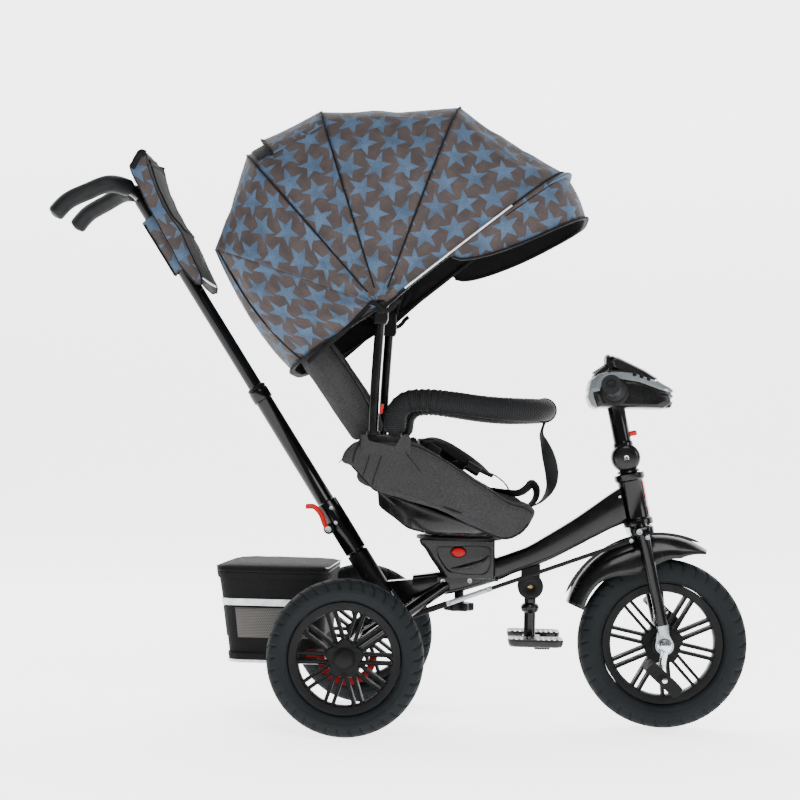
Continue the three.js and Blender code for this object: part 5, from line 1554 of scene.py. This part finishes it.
def harness():
    """Waist and shoulder straps with their pads, adjusters and the buckle, lying loose in the seat."""
    def band(name, route, width, tilt=0, material=WEBBING, body="seat", thick=0.0026, up=(0, 0, 1), count=60):
        path = curve([at(*point) for point in route], count)

        def leaning(t):
            lean = math.radians(tilt) * math.sin(math.pi * t)
            cos, sin = math.cos(lean), math.sin(lean)
            return [(u * cos - v * sin, u * sin + v * cos) for u, v in strip(width, thick)]
        return piece(name, *skin(carried(path, leaning, up)), material, body, slot="black_fabric", smooth=60)
    for side, sign in SIDES:
        band(f"waist_strap_{side}", [(58, sign * 104, 456), (84, sign * 92, 462), (112, sign * 72, 474),
                                     (140, sign * 46, 466), (158, sign * 18, 448)], 0.026)
        band(f"waist_strap_tail_{side}", [(106, sign * 66, 478), (128, sign * 64, 480),
                                          (152, sign * 63, 470), (172, sign * 62, 458),
                                          (192, sign * 61, 446), (212, sign * 60, 434),
                                          (230, sign * 58, 422)], 0.024, 50 * sign,
             thick=0.005)
        lump = [(u * MM, v * MM) for u, v in rounded_rect(15, -8, 8, 5, 4)]
        for index, (x, z) in enumerate(((118, 472), (186, 441))):
            run = [at(x, sign * 66, z), at(x + 22, sign * 64, z - 13)]
            piece(f"waist_slider_{index + 1}_{side}", *skin(carried(run, lump)), SATIN_BLACK, "seat",
                  slot="satin_black_plastic", bevel=0.002)
        slide = [(u * MM, v * MM) for u, v in rounded_rect(15, -4.5, 4.5, 3, 3)]
        path = [at(108, sign * 68, 479), at(126, sign * 60, 480)]
        piece(f"waist_adjuster_{side}", *skin(carried(path, slide)), SATIN_BLACK, "seat",
              slot="satin_black_plastic", bevel=0.001)
        pad_route = [on_back(s, n, sign * y) for s, n,
                     y in ((60, 50, 30), (100, 49, 36), (150, 49, 42), (200, 50, 46), (236, 49, 46))]
        shoulder = curve(pad_route, 50)
        forward = on_back(0, 1, 0) - on_back(0, 0, 0)
        piece(f"shoulder_strap_{side}", *skin(carried(shoulder, strip(0.024, 0.0022), forward)), WEBBING,
              "backrest", slot="black_fabric", smooth=60)
        pad = carried(shoulder[14:46], lambda t: [(u * 1.0, v * 1.0 + 0.0024) for u, v in
                                                  [(a * MM, b * MM)
                                                   for a, b in rounded_rect(21, -4.5, 4.5, 4, 4)]], forward)
        cover = piece(f"shoulder_pad_{side}", *skin(pad), GREY_CLOTH, "backrest", slot="grey_fabric",
                      smooth=60)
    buckle = []
    for z, grow in ((432, -3), (434, 0), (446, 0), (449, -4)):
        buckle.append([at(166 + u, v, z) for u, v in rounded_rect(24 + grow, -20 - grow, 20 + grow, 9, 5)])
    piece("harness_buckle", *skin(buckle), SATIN_BLACK, "seat", replaces=["seat_harness"],
          slot="satin_black_plastic", smooth=50)
    press = plug(at(166, 0, 449), (0, 0, 1), 10, 2.6, 1.0, 36)
    piece("harness_buckle_press", *press, GLOSS_PLASTIC, "seat", slot="gloss_black_plastic")
    band("crotch_tongue", [(190, 0, 438), (212, 0, 432), (238, 0, 422), (256, 0, 406), (262, 0, 390)], 0.026)
    band("front_pull_loop", [(214, -36, 402), (232, -40, 400), (254, -42, 396), (276, -44, 395),
                             (290, -46, 404), (297, -46, 412),
                             (305, -46, 404), (306, -46, 392), (302, -45, 382), (292, -44, 372)], 0.022, 30)


# ------------------------------------------------------------------ canopy
RIBS = (("canopy_rib_rear", 161, 307, "seat"), ("canopy_rib_1", 132.3, 356, "canopy_1"),
        ("canopy_rib_2", 108.5, 358, "canopy_2"),
        ("canopy_rib_3", 70.8, 371, "canopy_3"), ("canopy_rib_front", 39.1, 384, "canopy_front"))
CLOTH_HALF = 166.7
CLOTH_LIFT = 3.5
BOW_POWER = 4


def bow(reach, half, t):
    """A point (reach, y) of a canopy bow at angle t, from its right foot over to its left foot."""
    c, s = math.cos(t), math.sin(t)
    return reach * abs(s) ** (2 / BOW_POWER), -half * math.copysign(abs(c) ** (2 / BOW_POWER), c)


def bow_angle(v):
    """The bow's angle for an even share v of it, closer together towards the feet."""
    start = 0.0004 * math.pi
    return start + (math.pi - 2 * start) * (0.5 - 0.5 * math.cos(math.pi * v))


def gore(name, first, second, turn, sag, seed, rows=22, columns=110, replaces=()):
    """A canopy panel between two bows, drawn in a little between them, with creases towards the hub."""
    (angle_a, reach_a, side_a), (angle_b, reach_b, side_b) = first, second
    grid, shares = [], []
    for r in range(rows + 1):
        u = r / rows
        line = []
        for c in range(columns + 1):
            t = bow_angle(c / columns)
            ends = []
            for angle, reach, side in ((angle_a, reach_a, side_a), (angle_b, reach_b, side_b)):
                out, y = bow(reach, CLOTH_HALF, t)
                ends.append(on_rib(angle, out, y, side))
            point = ends[0].lerp(ends[1], u)
            out = point - HUB
            out.y *= 0.35
            out = out.normalized()
            span = (ends[1] - ends[0]).length
            inward = sag * math.sin(math.pi * u) * span
            slack = math.sin(math.pi * u)
            ripple = noise.fractal(Vector((c * 0.16, u * 2.2, seed)), 0.9, 2.0, 3) * 0.0055 * slack
            pull = 0.0016 * slack * math.sin(c * 0.55 + 2.5 * u + seed) * math.exp(-((u - 0.5) / 0.42) ** 2)
            line.append(point - out * (inward - ripple - pull))
            shares.append(u)
        grid.append(line)
    lengths = [0.0]
    for c in range(columns):
        mid = rows // 2
        lengths.append(lengths[-1] + (grid[mid][c + 1] - grid[mid][c]).length)
    cos, sin = math.cos(math.radians(turn)), math.sin(math.radians(turn))

    def laid(r, c):
        across = (grid[r][c] - grid[rows // 2][c]).length * (1 if r > rows // 2 else -1)
        x, y = across, lengths[c]
        return (x * cos - y * sin + 0.31 * seed, x * sin + y * cos + 0.17 * seed)
    panel = piece(name, *skin(grid, around=False), STAR_CLOTH, laid=laid_on(rows, columns, laid), smooth=80,
                  replaces=replaces, slot="star_fabric", extra=(DARK_UNDERSIDE,))
    wall = panel.modifiers.new("thickness", "SOLIDIFY")
    wall.thickness, wall.offset, wall.material_offset = 0.0012, -1.0, 1
    area = sum(face.area for face in panel.data.polygons)
    long = lengths[-1]
    wide = max((grid[rows][c] - grid[0][c]).length for c in range(columns + 1))
    return panel, area, (round(wide, 3), round(long, 3))


def turned_outward(panel):
    """Makes a canopy panel's printed side face away from the hub."""
    total = sum((face.center - HUB - Vector((0, face.center.y, 0)) * 0.5).dot(face.normal)
                for face in panel.data.polygons)
    if total < 0:
        panel.data.flip_normals()


def fan_blend(panel, body_a, body_b, angle_a, angle_b):
    """Bakes the panel's placement into its points. The points 250 mm out on its two ribs are found but not
    used, so the panel is not blended between its ribs.
    """
    start, end = on_rib(angle_a, 250, 0), on_rib(angle_b, 250, 0)
    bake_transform(panel)
    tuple(start)
    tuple(end)


def rib_line(angle, reach, lift, from_share=0.0, to_share=1.0, count=120, half=CLOTH_HALF, side=0.0):
    """Points along a bow, lifted off it, between two shares of its length."""
    points = []
    for i in range(count):
        share = from_share + (to_share - from_share) * i / (count - 1)
        out, y = bow(reach + lift, half + lift, bow_angle(share))
        points.append(on_rib(angle, out, y, side))
    return points


def canopy():
    bows = [(angle, reach + CLOTH_LIFT, 0) for _, angle, reach, _ in RIBS]
    owners = [owner for *_, owner in RIBS]
    names = ("canopy_panel_rear", "canopy_panel_1", "canopy_panel_2", "canopy_panel_front")
    looks = ((96, 0.012, 1), (80, 0.016, 2), (90, 0.014, 3), (104, 0.03, 4))
    for i, (name, (turn, sag, seed)) in enumerate(zip(names, looks)):
        panel, area, flat = gore(f"{name}_cloth", bows[i], bows[i + 1], turn, sag, seed,
                                 replaces=[name])
        turned_outward(panel)
        fan_blend(panel, owners[i], owners[i + 1], RIBS[i][1], RIBS[i + 1][1])
    for name, angle, reach, owner in RIBS:
        carry(name, SATIN_BLACK, 0.0006)
        line = rib_line(angle, reach + CLOTH_LIFT, 1.0, 0.03, 0.97, 150)
        if name != "canopy_rib_rear":
            piece(f"{name}_seam", *skin(carried(line, circle(0.0013, 8), (0, 0, 1))), PIPING, owner,
                  slot="black_fabric", smooth=80)
        for side, sign in SIDES:
            eye = softened([(3.6, 0), (8, 0), (8, 2.4), (3.6, 2.4)], 0.3)
            index = [row[0] for row in RIBS].index(name)
            centre = HUB + Vector((0, sign * (0.1478 + 0.0035 * index), 0))
            piece(f"{name}_eye_{side}", *lathe(centre, (0, sign, 0), eye, 36, True), SATIN_BLACK, owner,
                  slot="satin_black_plastic")
    name, angle, reach, owner = RIBS[-1]
    for side, low, high in (("right", 0.045, 0.265), ("left", 0.735, 0.955)):
        line = rib_line(angle, reach + CLOTH_LIFT, 2.0, low, high, 80)
        piece(f"front_rib_reflective_{side}", *skin(carried(line, circle(0.0017, 10))), REFLECTIVE, owner,
              slot="silver_plastic", smooth=80)
    drop_panel()
    visor()
    flap()


def drop_panel():
    """The rear curtain under the rearmost rib, hemmed in black."""
    bow_rear = (161, 307 + CLOTH_LIFT, -0.6)
    hem = (214, 186, 0)
    panel, area, flat = gore("canopy_curtain", hem, bow_rear, 70, -0.06, 6,
                             replaces=["canopy_drop_panel"])
    turned_outward(panel)
    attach(panel, "seat")
    line = rib_line(214, 186, 0.3, 0.0, 1.0, 140)
    piece("canopy_curtain_hem", *skin(carried(line, strip(0.011, 0.0034), (0, 0, 1))), PIPING, "seat",
          slot="black_fabric", smooth=80)
    for side, sign in SIDES:
        corner = []
        for i in range(41):
            u = i / 40
            t = math.pi * (0.25 + 0.11 * u)
            out_low, y_low = bow(186, CLOTH_HALF, t)
            out_high, y_high = bow(307 + CLOTH_LIFT, CLOTH_HALF, t)
            low, high = on_rib(214, out_low, y_low * -sign, 0), on_rib(161, out_high, y_high * -sign, -0.6)
            point = low.lerp(high, u)
            away = point - HUB
            away.y *= 0.35
            bow_out = (high - low).length * 0.06 * math.sin(math.pi * u)
            corner.append(point + away.normalized() * (bow_out + 0.0006))
        piece(f"curtain_corner_{side}", *skin(carried(corner, circle(0.0016, 8), (0, 1, 0))), PIPING, "seat",
              slot="black_fabric", smooth=80)
        tie = curve([at(x, sign * 168.2, z)
                     for x, z in ((22, 697), (27, 703), (34, 700), (42, 695), (52, 690), (59, 694), (66, 703),
                                                        (73, 709))], 50)
        piece(f"hub_binding_{side}", *skin(carried(tie, strip(0.0075, 0.0026), (0, sign, 0))), PIPING,
              "seat", slot="black_fabric", smooth=80)
        edge = curve([at(x, sign * 167.4, z)
                      for x, z in ((-76, 603), (-58, 620), (-40, 636), (-24, 650), (-8, 665), (8, 682),
                            (23, 699))], 60)
        piece(f"curtain_edge_{side}", *skin(carried(edge, strip(0.0075, 0.0026), (0, sign, 0))), PIPING,
              "seat", slot="black_fabric", smooth=80)


VISOR_ROWS, VISOR_COLUMNS = 14, 90


def visor():
    """The sun visor in front of the front rib: deep amidships, dying away down the sides, bound in black."""
    _, angle, reach, owner = RIBS[-1]
    grid = []
    for r in range(VISOR_ROWS + 1):
        line = []
        for c in range(VISOR_COLUMNS + 1):
            v = c / VISOR_COLUMNS
            t = bow_angle(0.131 + 0.738 * v)
            out, y = bow(reach + CLOTH_LIFT, CLOTH_HALF, t)
            full = min(1, max(0, (math.sqrt(math.sin(t)) - 0.36) / 0.64))
            drop = 1.5 + 84 * full ** 0.5
            u = r / VISOR_ROWS
            wave = 1.6 * math.sin(v * 19 + 2) * u * u + noise.noise(Vector((v * 9, u * 2, 3.3))) * 2.2 * u
            draw = 0.20 * drop * full ** 2 * u * u
            line.append(on_rib(angle, out + wave + 1.0 - draw, y * (1 - 0.1 * u * full), -0.5 - drop * u))
        grid.append(line)
    lengths = [0.0]
    for c in range(VISOR_COLUMNS):
        lengths.append(lengths[-1] + (grid[0][c + 1] - grid[0][c]).length)

    def laid(r, c):
        depth = (grid[r][c] - grid[0][c]).length
        return (depth * 0.98 + 0.02, lengths[c] + 0.012)
    cloth = piece("visor_cloth", *skin(grid, around=False), STAR_CLOTH,
                  laid=laid_on(VISOR_ROWS, VISOR_COLUMNS, laid),
                  smooth=80, replaces=["canopy_visor"], slot="star_fabric", extra=(DARK_UNDERSIDE,))
    turned_outward(cloth)
    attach(cloth, owner)
    wall = cloth.modifiers.new("thickness", "SOLIDIFY")
    wall.thickness, wall.offset, wall.material_offset = 0.0014, -1.0, 1
    edge = grid[-1]
    piece("visor_binding", *skin(carried(edge, strip(0.009, 0.0036), (0, 0, 1))), PIPING, owner,
          slot="black_fabric", smooth=80)
    tape = [a.lerp(b, 0.12) for a, b in zip(grid[0], grid[-1])][14:-14]
    piece("visor_channel_seam", *skin(carried(tape, circle(0.0009, 6))), PIPING, owner, slot="black_fabric",
          smooth=80)
    nose = rib_line(angle, reach + CLOTH_LIFT, 1.0, 0.36, 0.64, 90, side=-7)

    def swelling(t):
        radius = 0.0085 * math.sin(math.pi * t) ** 0.5 + 0.0006
        return [(u * 1.1, v * 0.55) for u, v in circle(radius, 16)]
    piece("visor_nose_tunnel", *skin(carried(nose, swelling, (0, 0, 1))), STAR_CLOTH, owner,
          slot="star_fabric", smooth=80)


def flap():
    """The vent flap over the top between the first two ribs: a low hood bound in black, dark mesh inside."""
    rows, columns = 10, 60

    def strip_grid(first, last, low, high, lift_of):
        grid = []
        for r in range(rows + 1):
            line = []
            for c in range(columns + 1):
                u, v = r / rows, c / columns
                angle = first + (last - first) * u
                share = min(1, max(0, (angle - 108.5) / 23.8))
                reach = 358 + (356 - 358) * share + CLOTH_LIFT
                chord = 1 - 0.022 * math.sin(math.pi * share)
                out, y = bow(reach * chord + lift_of(u, v), CLOTH_HALF, bow_angle(low + (high - low) * v))
                line.append(on_rib(angle, out, y))
            grid.append(line)
        return grid

    def laid(r, c):
        return (0.012 * r + 0.4, 0.005 * c)
    opening = strip_grid(124.5, 130.8, 0.372, 0.628, lambda u, v: 1.5)
    piece("vent_opening", *skin(opening, around=False), BAR_MESH, "canopy_2", smooth=80, slot="black_fabric",
          laid=laid_on(rows, columns, laid))
    hood = strip_grid(108.8, 126.5, 0.365, 0.635,
                      lambda u, v: (2.0 + 7 * u * u * max(0, math.sin(math.pi * v)) ** 0.5
                                    + 1.0 * math.sin(v * 21) * u))
    cloth = piece("vent_flap", *skin(hood, around=False), STAR_CLOTH, laid=laid_on(rows, columns, laid),
                  smooth=80, slot="star_fabric", extra=(DARK_UNDERSIDE,))
    turned_outward(cloth)
    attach(cloth, "canopy_2")
    wall = cloth.modifiers.new("thickness", "SOLIDIFY")
    wall.thickness, wall.offset, wall.material_offset = 0.0012, -1.0, 1
    piece("vent_flap_binding", *skin(carried(hood[-1], circle(0.0028, 10), (0, 0, 1))), PIPING, "canopy_2",
          slot="black_fabric", smooth=80)


# ------------------------------------------------------------------ bag and basket
BAG_HALF = 85


def pole_bag():
    """A soft bag on the pole: grey front and back, star gusset, sleeve round the pole and piped pocket."""
    end_outline = [(14, 617), (20, 613), (25, 619), (32, 669), (36, 712), (33, 735), (35, 765), (40, 805),
                   (50, 840), (56, 855),
                   (50, 861), (38, 853), (21, 848), (18, 825), (13, 775), (10, 724), (8, 679), (8, 641)]
    middle_outline = [(16, 626), (24, 621), (31, 626), (37, 669), (42, 712), (43, 745), (46, 790),
                      (54, 830), (55, 850), (52, 872),
                      (46, 880), (34, 872), (20, 868), (16.5, 840), (16, 780), (16, 724), (16, 679),
                      (16, 641)]
    ends, middles = ([Vector((o, s, 0)) for o, s in row] for row in (end_outline, middle_outline))
    end_side = curve([*ends, ends[0]], 65)[:-1]
    middle_side = curve([*middles, middles[0]], 65)[:-1]
    rows = 45
    loops = []
    for r in range(rows):
        v = r / (rows - 1) * 2 - 1
        loop = []
        for p_end, p_middle in zip(end_side, middle_side):
            p = p_middle.lerp(p_end, abs(v) ** 2.2)
            soft = noise.fractal(Vector((v * 2.2, p.x * 0.05, p.y * 0.03)), 0.9, 2.0, 3)
            loop.append(on_pole(p.y + 1.5 * soft, p.x + 1.8 * soft, v * BAG_HALF + 1.5 * soft))
        loops.append(loop)
    count = len(end_side)

    def place(r, c):
        return (r * 2 * BAG_HALF * MM / (rows - 1), c * 0.49 / count)
    points, faces = skin(loops)
    corners = []
    for r in range(rows - 1):
        for c in range(count):
            for rr, cc in ((r, c), (r, c + 1), (r + 1, c + 1), (r + 1, c)):
                corners.append(place(rr, cc))
    shell = piece("pole_bag_shell", points, faces, GREY_CLOTH, "push_top", replaces=["pole_bag"],
                  slot="grey_fabric", laid=corners, smooth=60)
    tree = surface_of(shell)
    for end, v in (("right", 0), ("left", rows - 1)):
        loop = loops[v]
        piece(f"bag_piping_{end}", *skin(carried([*loop, loop[0]], circle(0.0016, 10), (0, 1, 0))), PIPING,
              "push_top", slot="black_fabric", smooth=80)
        inner = [p.lerp(sum(loop, Vector()) / len(loop), 0.05) for p in loop]
        face = [[p + Vector((0, (v - (rows - 1) / 2) / (rows / 2) * k, 0)) for p in ring]
                for ring, k in ((loop, 0.0008), (inner, 0.0018))]
        gusset_points = face[0] + face[1]
        total = len(loop)
        gusset_faces = [(i, (i + 1) % total, total + (i + 1) % total, total + i) for i in range(total)]
        gusset_faces.append(tuple(range(total, 2 * total)))
        centre = sum(loop, Vector()) / total
        places = []
        for f in gusset_faces:
            for i in f:
                off = gusset_points[i] - centre
                places.append((off.x + 0.3, off.z + 0.2))
        sign = -1 if v == 0 else 1
        mouth = curve([on_pole(s, o, sign * (BAG_HALF + 2.6))
                       for o, s in ((22, 845), (30, 849), (40, 855), (50, 859), (55, 853))], 40)
        piece(f"bag_mouth_{end}", *skin(carried(mouth, strip(0.011, 0.003), (0, sign, 0))), PIPING,
              "push_top", slot="black_fabric", smooth=80)
        piece(f"bag_gusset_{end}", gusset_points, gusset_faces, STAR_CLOTH, "push_top", laid=places,
              slot="star_fabric", smooth=60)
    forward = on_pole(0, 1, 0) - on_pole(0, 0, 0)
    outline = [(-66, 846), (66, 846), (66, 738), (52, 716), (-52, 716), (-66, 738), (-66, 846)]
    pocket = curve([on_pole(s, 80, y) for y, s in outline], 140)
    seam("bag_pocket_piping", tree, pocket, forward.normalized(), "push_top", radius=0.0017, lift=0.0006)
    lid = curve([on_pole(835, 80, -80), on_pole(838, 80, 0), on_pole(835, 80, 80)], 60)
    seam("bag_lid_piping", tree, lid, forward.normalized(), "push_top", radius=0.0015, lift=0.0004)
    sleeve = []
    for s in range(665, 776, 3):
        ring = []
        for i in range(41):
            angle = math.tau * i / 40
            flat = 1 + 0.35 * max(0, -math.cos(angle)) ** 3
            soft = 0.5 * noise.noise(Vector((s * 0.04, angle, 1.7)))
            ring.append(on_pole(s, 15.0 * flat * math.cos(angle) + soft, 15.0 * math.sin(angle) + soft))
        sleeve.append(ring)
    wrap = piece("bag_sleeve", *skin(sleeve, around=False), STAR_CLOTH, "push_top", slot="star_fabric",
                 smooth=80, laid=laid_on(len(sleeve) - 1, 40, lambda r, c: (r * 0.003 + 0.11, c * 0.0024)))
    wall = wrap.modifiers.new("thickness", "SOLIDIFY")
    wall.thickness, wall.offset = 0.0016, -1.0
    closure = [on_pole(s, -17.6, 0) for s in range(664, 770, 4)]
    piece("bag_sleeve_strap", *skin(carried(closure, strip(0.018, 0.0026), on_pole(0, -1) - on_pole(0, 0))),
          WEBBING, "push_top", slot="black_fabric", smooth=60)
    hem = [on_pole(622, 26, y) for y in range(-74, 75, 6)]
    piece("bag_bottom_reflective", *skin(carried(hem, circle(0.0018, 10))), REFLECTIVE, "push_top",
          slot="silver_plastic", smooth=80)


BASKET_TOP = (-222, -40, 140, 256)
BASKET_BOTTOM = (-200, -46, 128, 107)


def basket_ring(t, grow=0.0, corner=22, count=96):
    """A round-cornered level loop round the basket, t of the way up it, evenly spaced."""
    back, front, half, z = (b + (a - b) * t for a, b in zip(BASKET_TOP, BASKET_BOTTOM))
    middle, reach = (back + front) / 2, (front - back) / 2 + grow
    flat = rounded_rect(reach, -half - grow, half + grow, corner, 8)
    loop = [Vector((middle + u, v, z)) for u, v in flat]
    return curve([*loop, loop[0]], count + 1)[:-1]


def basket():
    """A fabric basket over a stiff frame: mesh windows, a reflective band and a soft zipped lid."""
    rows, count = 24, 96
    loops = []
    for r in range(rows + 1):
        t = r / rows
        loop = []
        for p in basket_ring(t, 0.0, 22, count):
            slack = 2.2 * math.sin(math.pi * t) * (1 + noise.noise(Vector((p.x * 0.03, p.y * 0.03, t * 3))))
            centre = Vector(((BASKET_TOP[0] + BASKET_TOP[1]) / 2, 0, p.z))
            inward = (centre - p).normalized() * slack
            loop.append(at(*(p + inward)))
        loops.append(loop)
    inside = []
    for r in range(rows, -1, -1):
        t = max(r / rows, 0.03)
        inside.append([at(*p) for p in basket_ring(t, -3.4, 20, count)])
    piece("basket_shell", *skin([*loops, *inside]), WEBBING, "frame", replaces=["basket"],
          slot="black_fabric", smooth=60)

    def band(name, low, high, material, lift, slot, bulge=0.0, gap=None):
        grid = []
        steps = 8
        for r in range(steps + 1):
            t = low + (high - low) * r / steps
            row = []
            for i, p in enumerate(basket_ring(t, lift, 22, count)):
                slack = 2.2 * math.sin(math.pi * t) * (1 + noise.noise(Vector((p.x * 0.03, p.y * 0.03,
                                                                               t * 3))))
                centre = Vector(((BASKET_TOP[0] + BASKET_TOP[1]) / 2, 0, p.z))
                inward = slack - bulge * math.sin(math.pi * r / steps)
                row.append(at(*(p + (centre - p).normalized() * inward)))
            grid.append(row)
        points, faces = skin(grid, caps=False)
        girth = sum((grid[0][i] - grid[0][i - 1]).length for i in range(count))
        tall = (grid[-1][0] - grid[0][0]).length
        laid = laid_on(steps, count, lambda r, c: (girth * c / count, tall * r / steps))
        if gap:
            keep = [k for k in range(len(faces)) if not gap(k % count)]
            laid = [laid[4 * k + j] for k in keep for j in range(4)]
            faces = [faces[k] for k in keep]
        made = piece(name, points, faces, material, "frame", slot=slot, laid=laid, smooth=80)
        wall = made.modifiers.new("thickness", "SOLIDIFY")
        wall.thickness, wall.offset = 0.0010, 1.0
        return made
    level = basket_ring(0.45, 0.0, 22, count)
    middle = (BASKET_TOP[0] + BASKET_TOP[1]) / 2

    def near_corner(column):
        return abs(level[column].x - middle) > 60 and abs(level[column].y) > 104
    band("basket_mesh_windows", 0.27, 0.60, WINDOW_MESH, 0.4, "grey_fabric", gap=near_corner)
    band("basket_reflective_band", 0.625, 0.70, REFLECTIVE, 0.6, "silver_plastic")
    band("basket_top_band", 0.93, 0.995, PIPING, 1.2, "black_fabric")
    band("basket_bottom_band", 0.005, 0.10, PIPING, 1.0, "black_fabric")
    band("basket_bottom_reflective", -0.01, 0.022, REFLECTIVE, 1.4, "silver_plastic")
    lid = []
    for z, grow, dome in ((256.6, 1.4, 0), (259, 2.4, 0), (262.5, 2.0, 0), (265, 0.0, 0), (267, -8, 0),
                          (268.6, -24, 1), (269.4, -48, 1)):
        ring = basket_ring(1.0, grow, 22, count)
        lid.append([at(p.x, p.y, z + dome * 0.5 * noise.noise(Vector((p.x * 0.05, p.y * 0.05, 0))))
                    for p in ring])
    lid.insert(0, [at(p.x, p.y, 256.6) for p in basket_ring(1.0, -20, 20, count)])
    laid = []
    points, faces = skin(lid)
    for face in faces:
        for i in face:
            laid.append((points[i].x, points[i].y + points[i].z))
    piece("basket_lid_cover", points, faces, WEBBING, "basket_lid", replaces=["basket_lid"],
          slot="black_fabric", laid=laid, smooth=60)
    ring = [at(p.x, p.y, 263.4) for p in basket_ring(1.0, 2.6, 22, count)]
    piece("basket_lid_piping", *skin(carried([*ring, ring[0]], circle(0.0011, 10))), PIPING, "basket_lid",
          slot="black_fabric", smooth=80)
    front = max(p.x for p in ring) - 0.006
    bright = [p + Vector((0.0006, 0, 0.0012)) for p in ring if p.x > front]
    bright.sort(key=lambda p: p.y)
    piece("basket_lid_reflective", *skin(carried(bright, circle(0.0011, 10))), REFLECTIVE, "basket_lid",
          slot="silver_plastic", smooth=80)
    ring = [at(p.x, p.y, 257.2) for p in basket_ring(1.0, 1.8, 22, count)]
    piece("basket_zip", *skin(carried([*ring, ring[0]], circle(0.0012, 8))), SATIN_BLACK, "basket_lid",
          slot="satin_black_plastic", smooth=80)


# ------------------------------------------------------------------ everything
FLOOR_REACH = 30
LENS_MM = 79.2
CAMERA_PLACE = (0.1496, -3.042, 0.440)
CAMERA_YAW, CAMERA_PITCH, CAMERA_ROLL = 2.72, 2.134, 1.2


def photo_stage():
    """A pale floor under soft light, seen from low on the rider's right."""
    scene = bpy.context.scene
    paper = Finish("pale_floor", srgb(248, 248, 248), 0.9)
    tone = paper.noise(3.0, 1.0)
    paper.drive("Roughness", paper.span(tone, 0.3, 0.7, 0.86, 0.94))
    shader = next(node for node in paper.material.node_tree.nodes if node.type == "BSDF_PRINCIPLED")
    shader.inputs["Emission Color"].default_value = (1, 1, 1, 1)
    shader.inputs["Emission Strength"].default_value = 2.6
    bend = [math.pi / 2 * i / 12 for i in range(13)]
    rise = [(-FLOOR_REACH, 0), (0, 0)]
    rise += [(3 + 2 * math.sin(a), 2 - 2 * math.cos(a)) for a in bend]
    rise += [(5, 14)]
    loops = [[Vector((x, y, z)) for x in (-FLOOR_REACH, FLOOR_REACH)] for y, z in rise]
    backdrop = piece("backdrop", *skin(loops, around=False), paper.material, smooth=80)
    world = bpy.data.worlds.new("studio")
    world.use_nodes = True
    world.node_tree.nodes["Background"].inputs["Color"].default_value = (1, 1, 1, 1)
    world.node_tree.nodes["Background"].inputs["Strength"].default_value = 0.3
    scene.world = world
    lamps = (("key", (0.3, -2.4, 3.0), 2.0, 85), ("fill", (2.8, -1.6, 1.4), 1.4, 34),
             ("rear", (-2.4, 1.2, 2.2), 2.0, 30))
    target = Vector((0.0, 0.0, 0.45))
    for name, place, size, power in lamps:
        light = bpy.data.lights.new(name, "AREA")
        light.shape = "DISK"
        light.size, light.energy = size, power
        lamp = bpy.data.objects.new(name, light)
        lamp.location = place
        lamp.rotation_euler = (target - Vector(place)).to_track_quat("-Z", "Y").to_euler()
        scene.collection.objects.link(lamp)
    camera_data = bpy.data.cameras.new("camera")
    camera_data.lens, camera_data.sensor_width = LENS_MM, 36
    camera = bpy.data.objects.new("camera", camera_data)
    scene.collection.objects.link(camera)
    roll = math.radians(CAMERA_ROLL)
    side = Vector((math.tan(math.radians(CAMERA_YAW)), math.tan(math.radians(CAMERA_PITCH)), 1)).normalized()
    up = Vector((math.sin(roll), -math.cos(roll), 0))
    up = (up - side * up.dot(side)).normalized()
    ahead = side.cross(up)
    turn = Matrix(((ahead.x, -ahead.y, -ahead.z), (side.x, -side.y, -side.z), (up.x, -up.y, -up.z)))
    camera.matrix_world = Matrix.Translation(CAMERA_PLACE) @ turn.to_4x4()
    scene.camera = camera


main_beam()
head_tube()
rear_frame()
pedestal()
knob_and_link()
footrest()
brake_and_axle()
wheels()
push_handle()
fork()
fender()
pedals()
handlebar()
console()
seat_wings()
seat_shell()
seat_cushion()
backrest()
seat_fittings()
bumper_bar()
harness()
canopy()
pole_bag()
basket()
photo_stage()
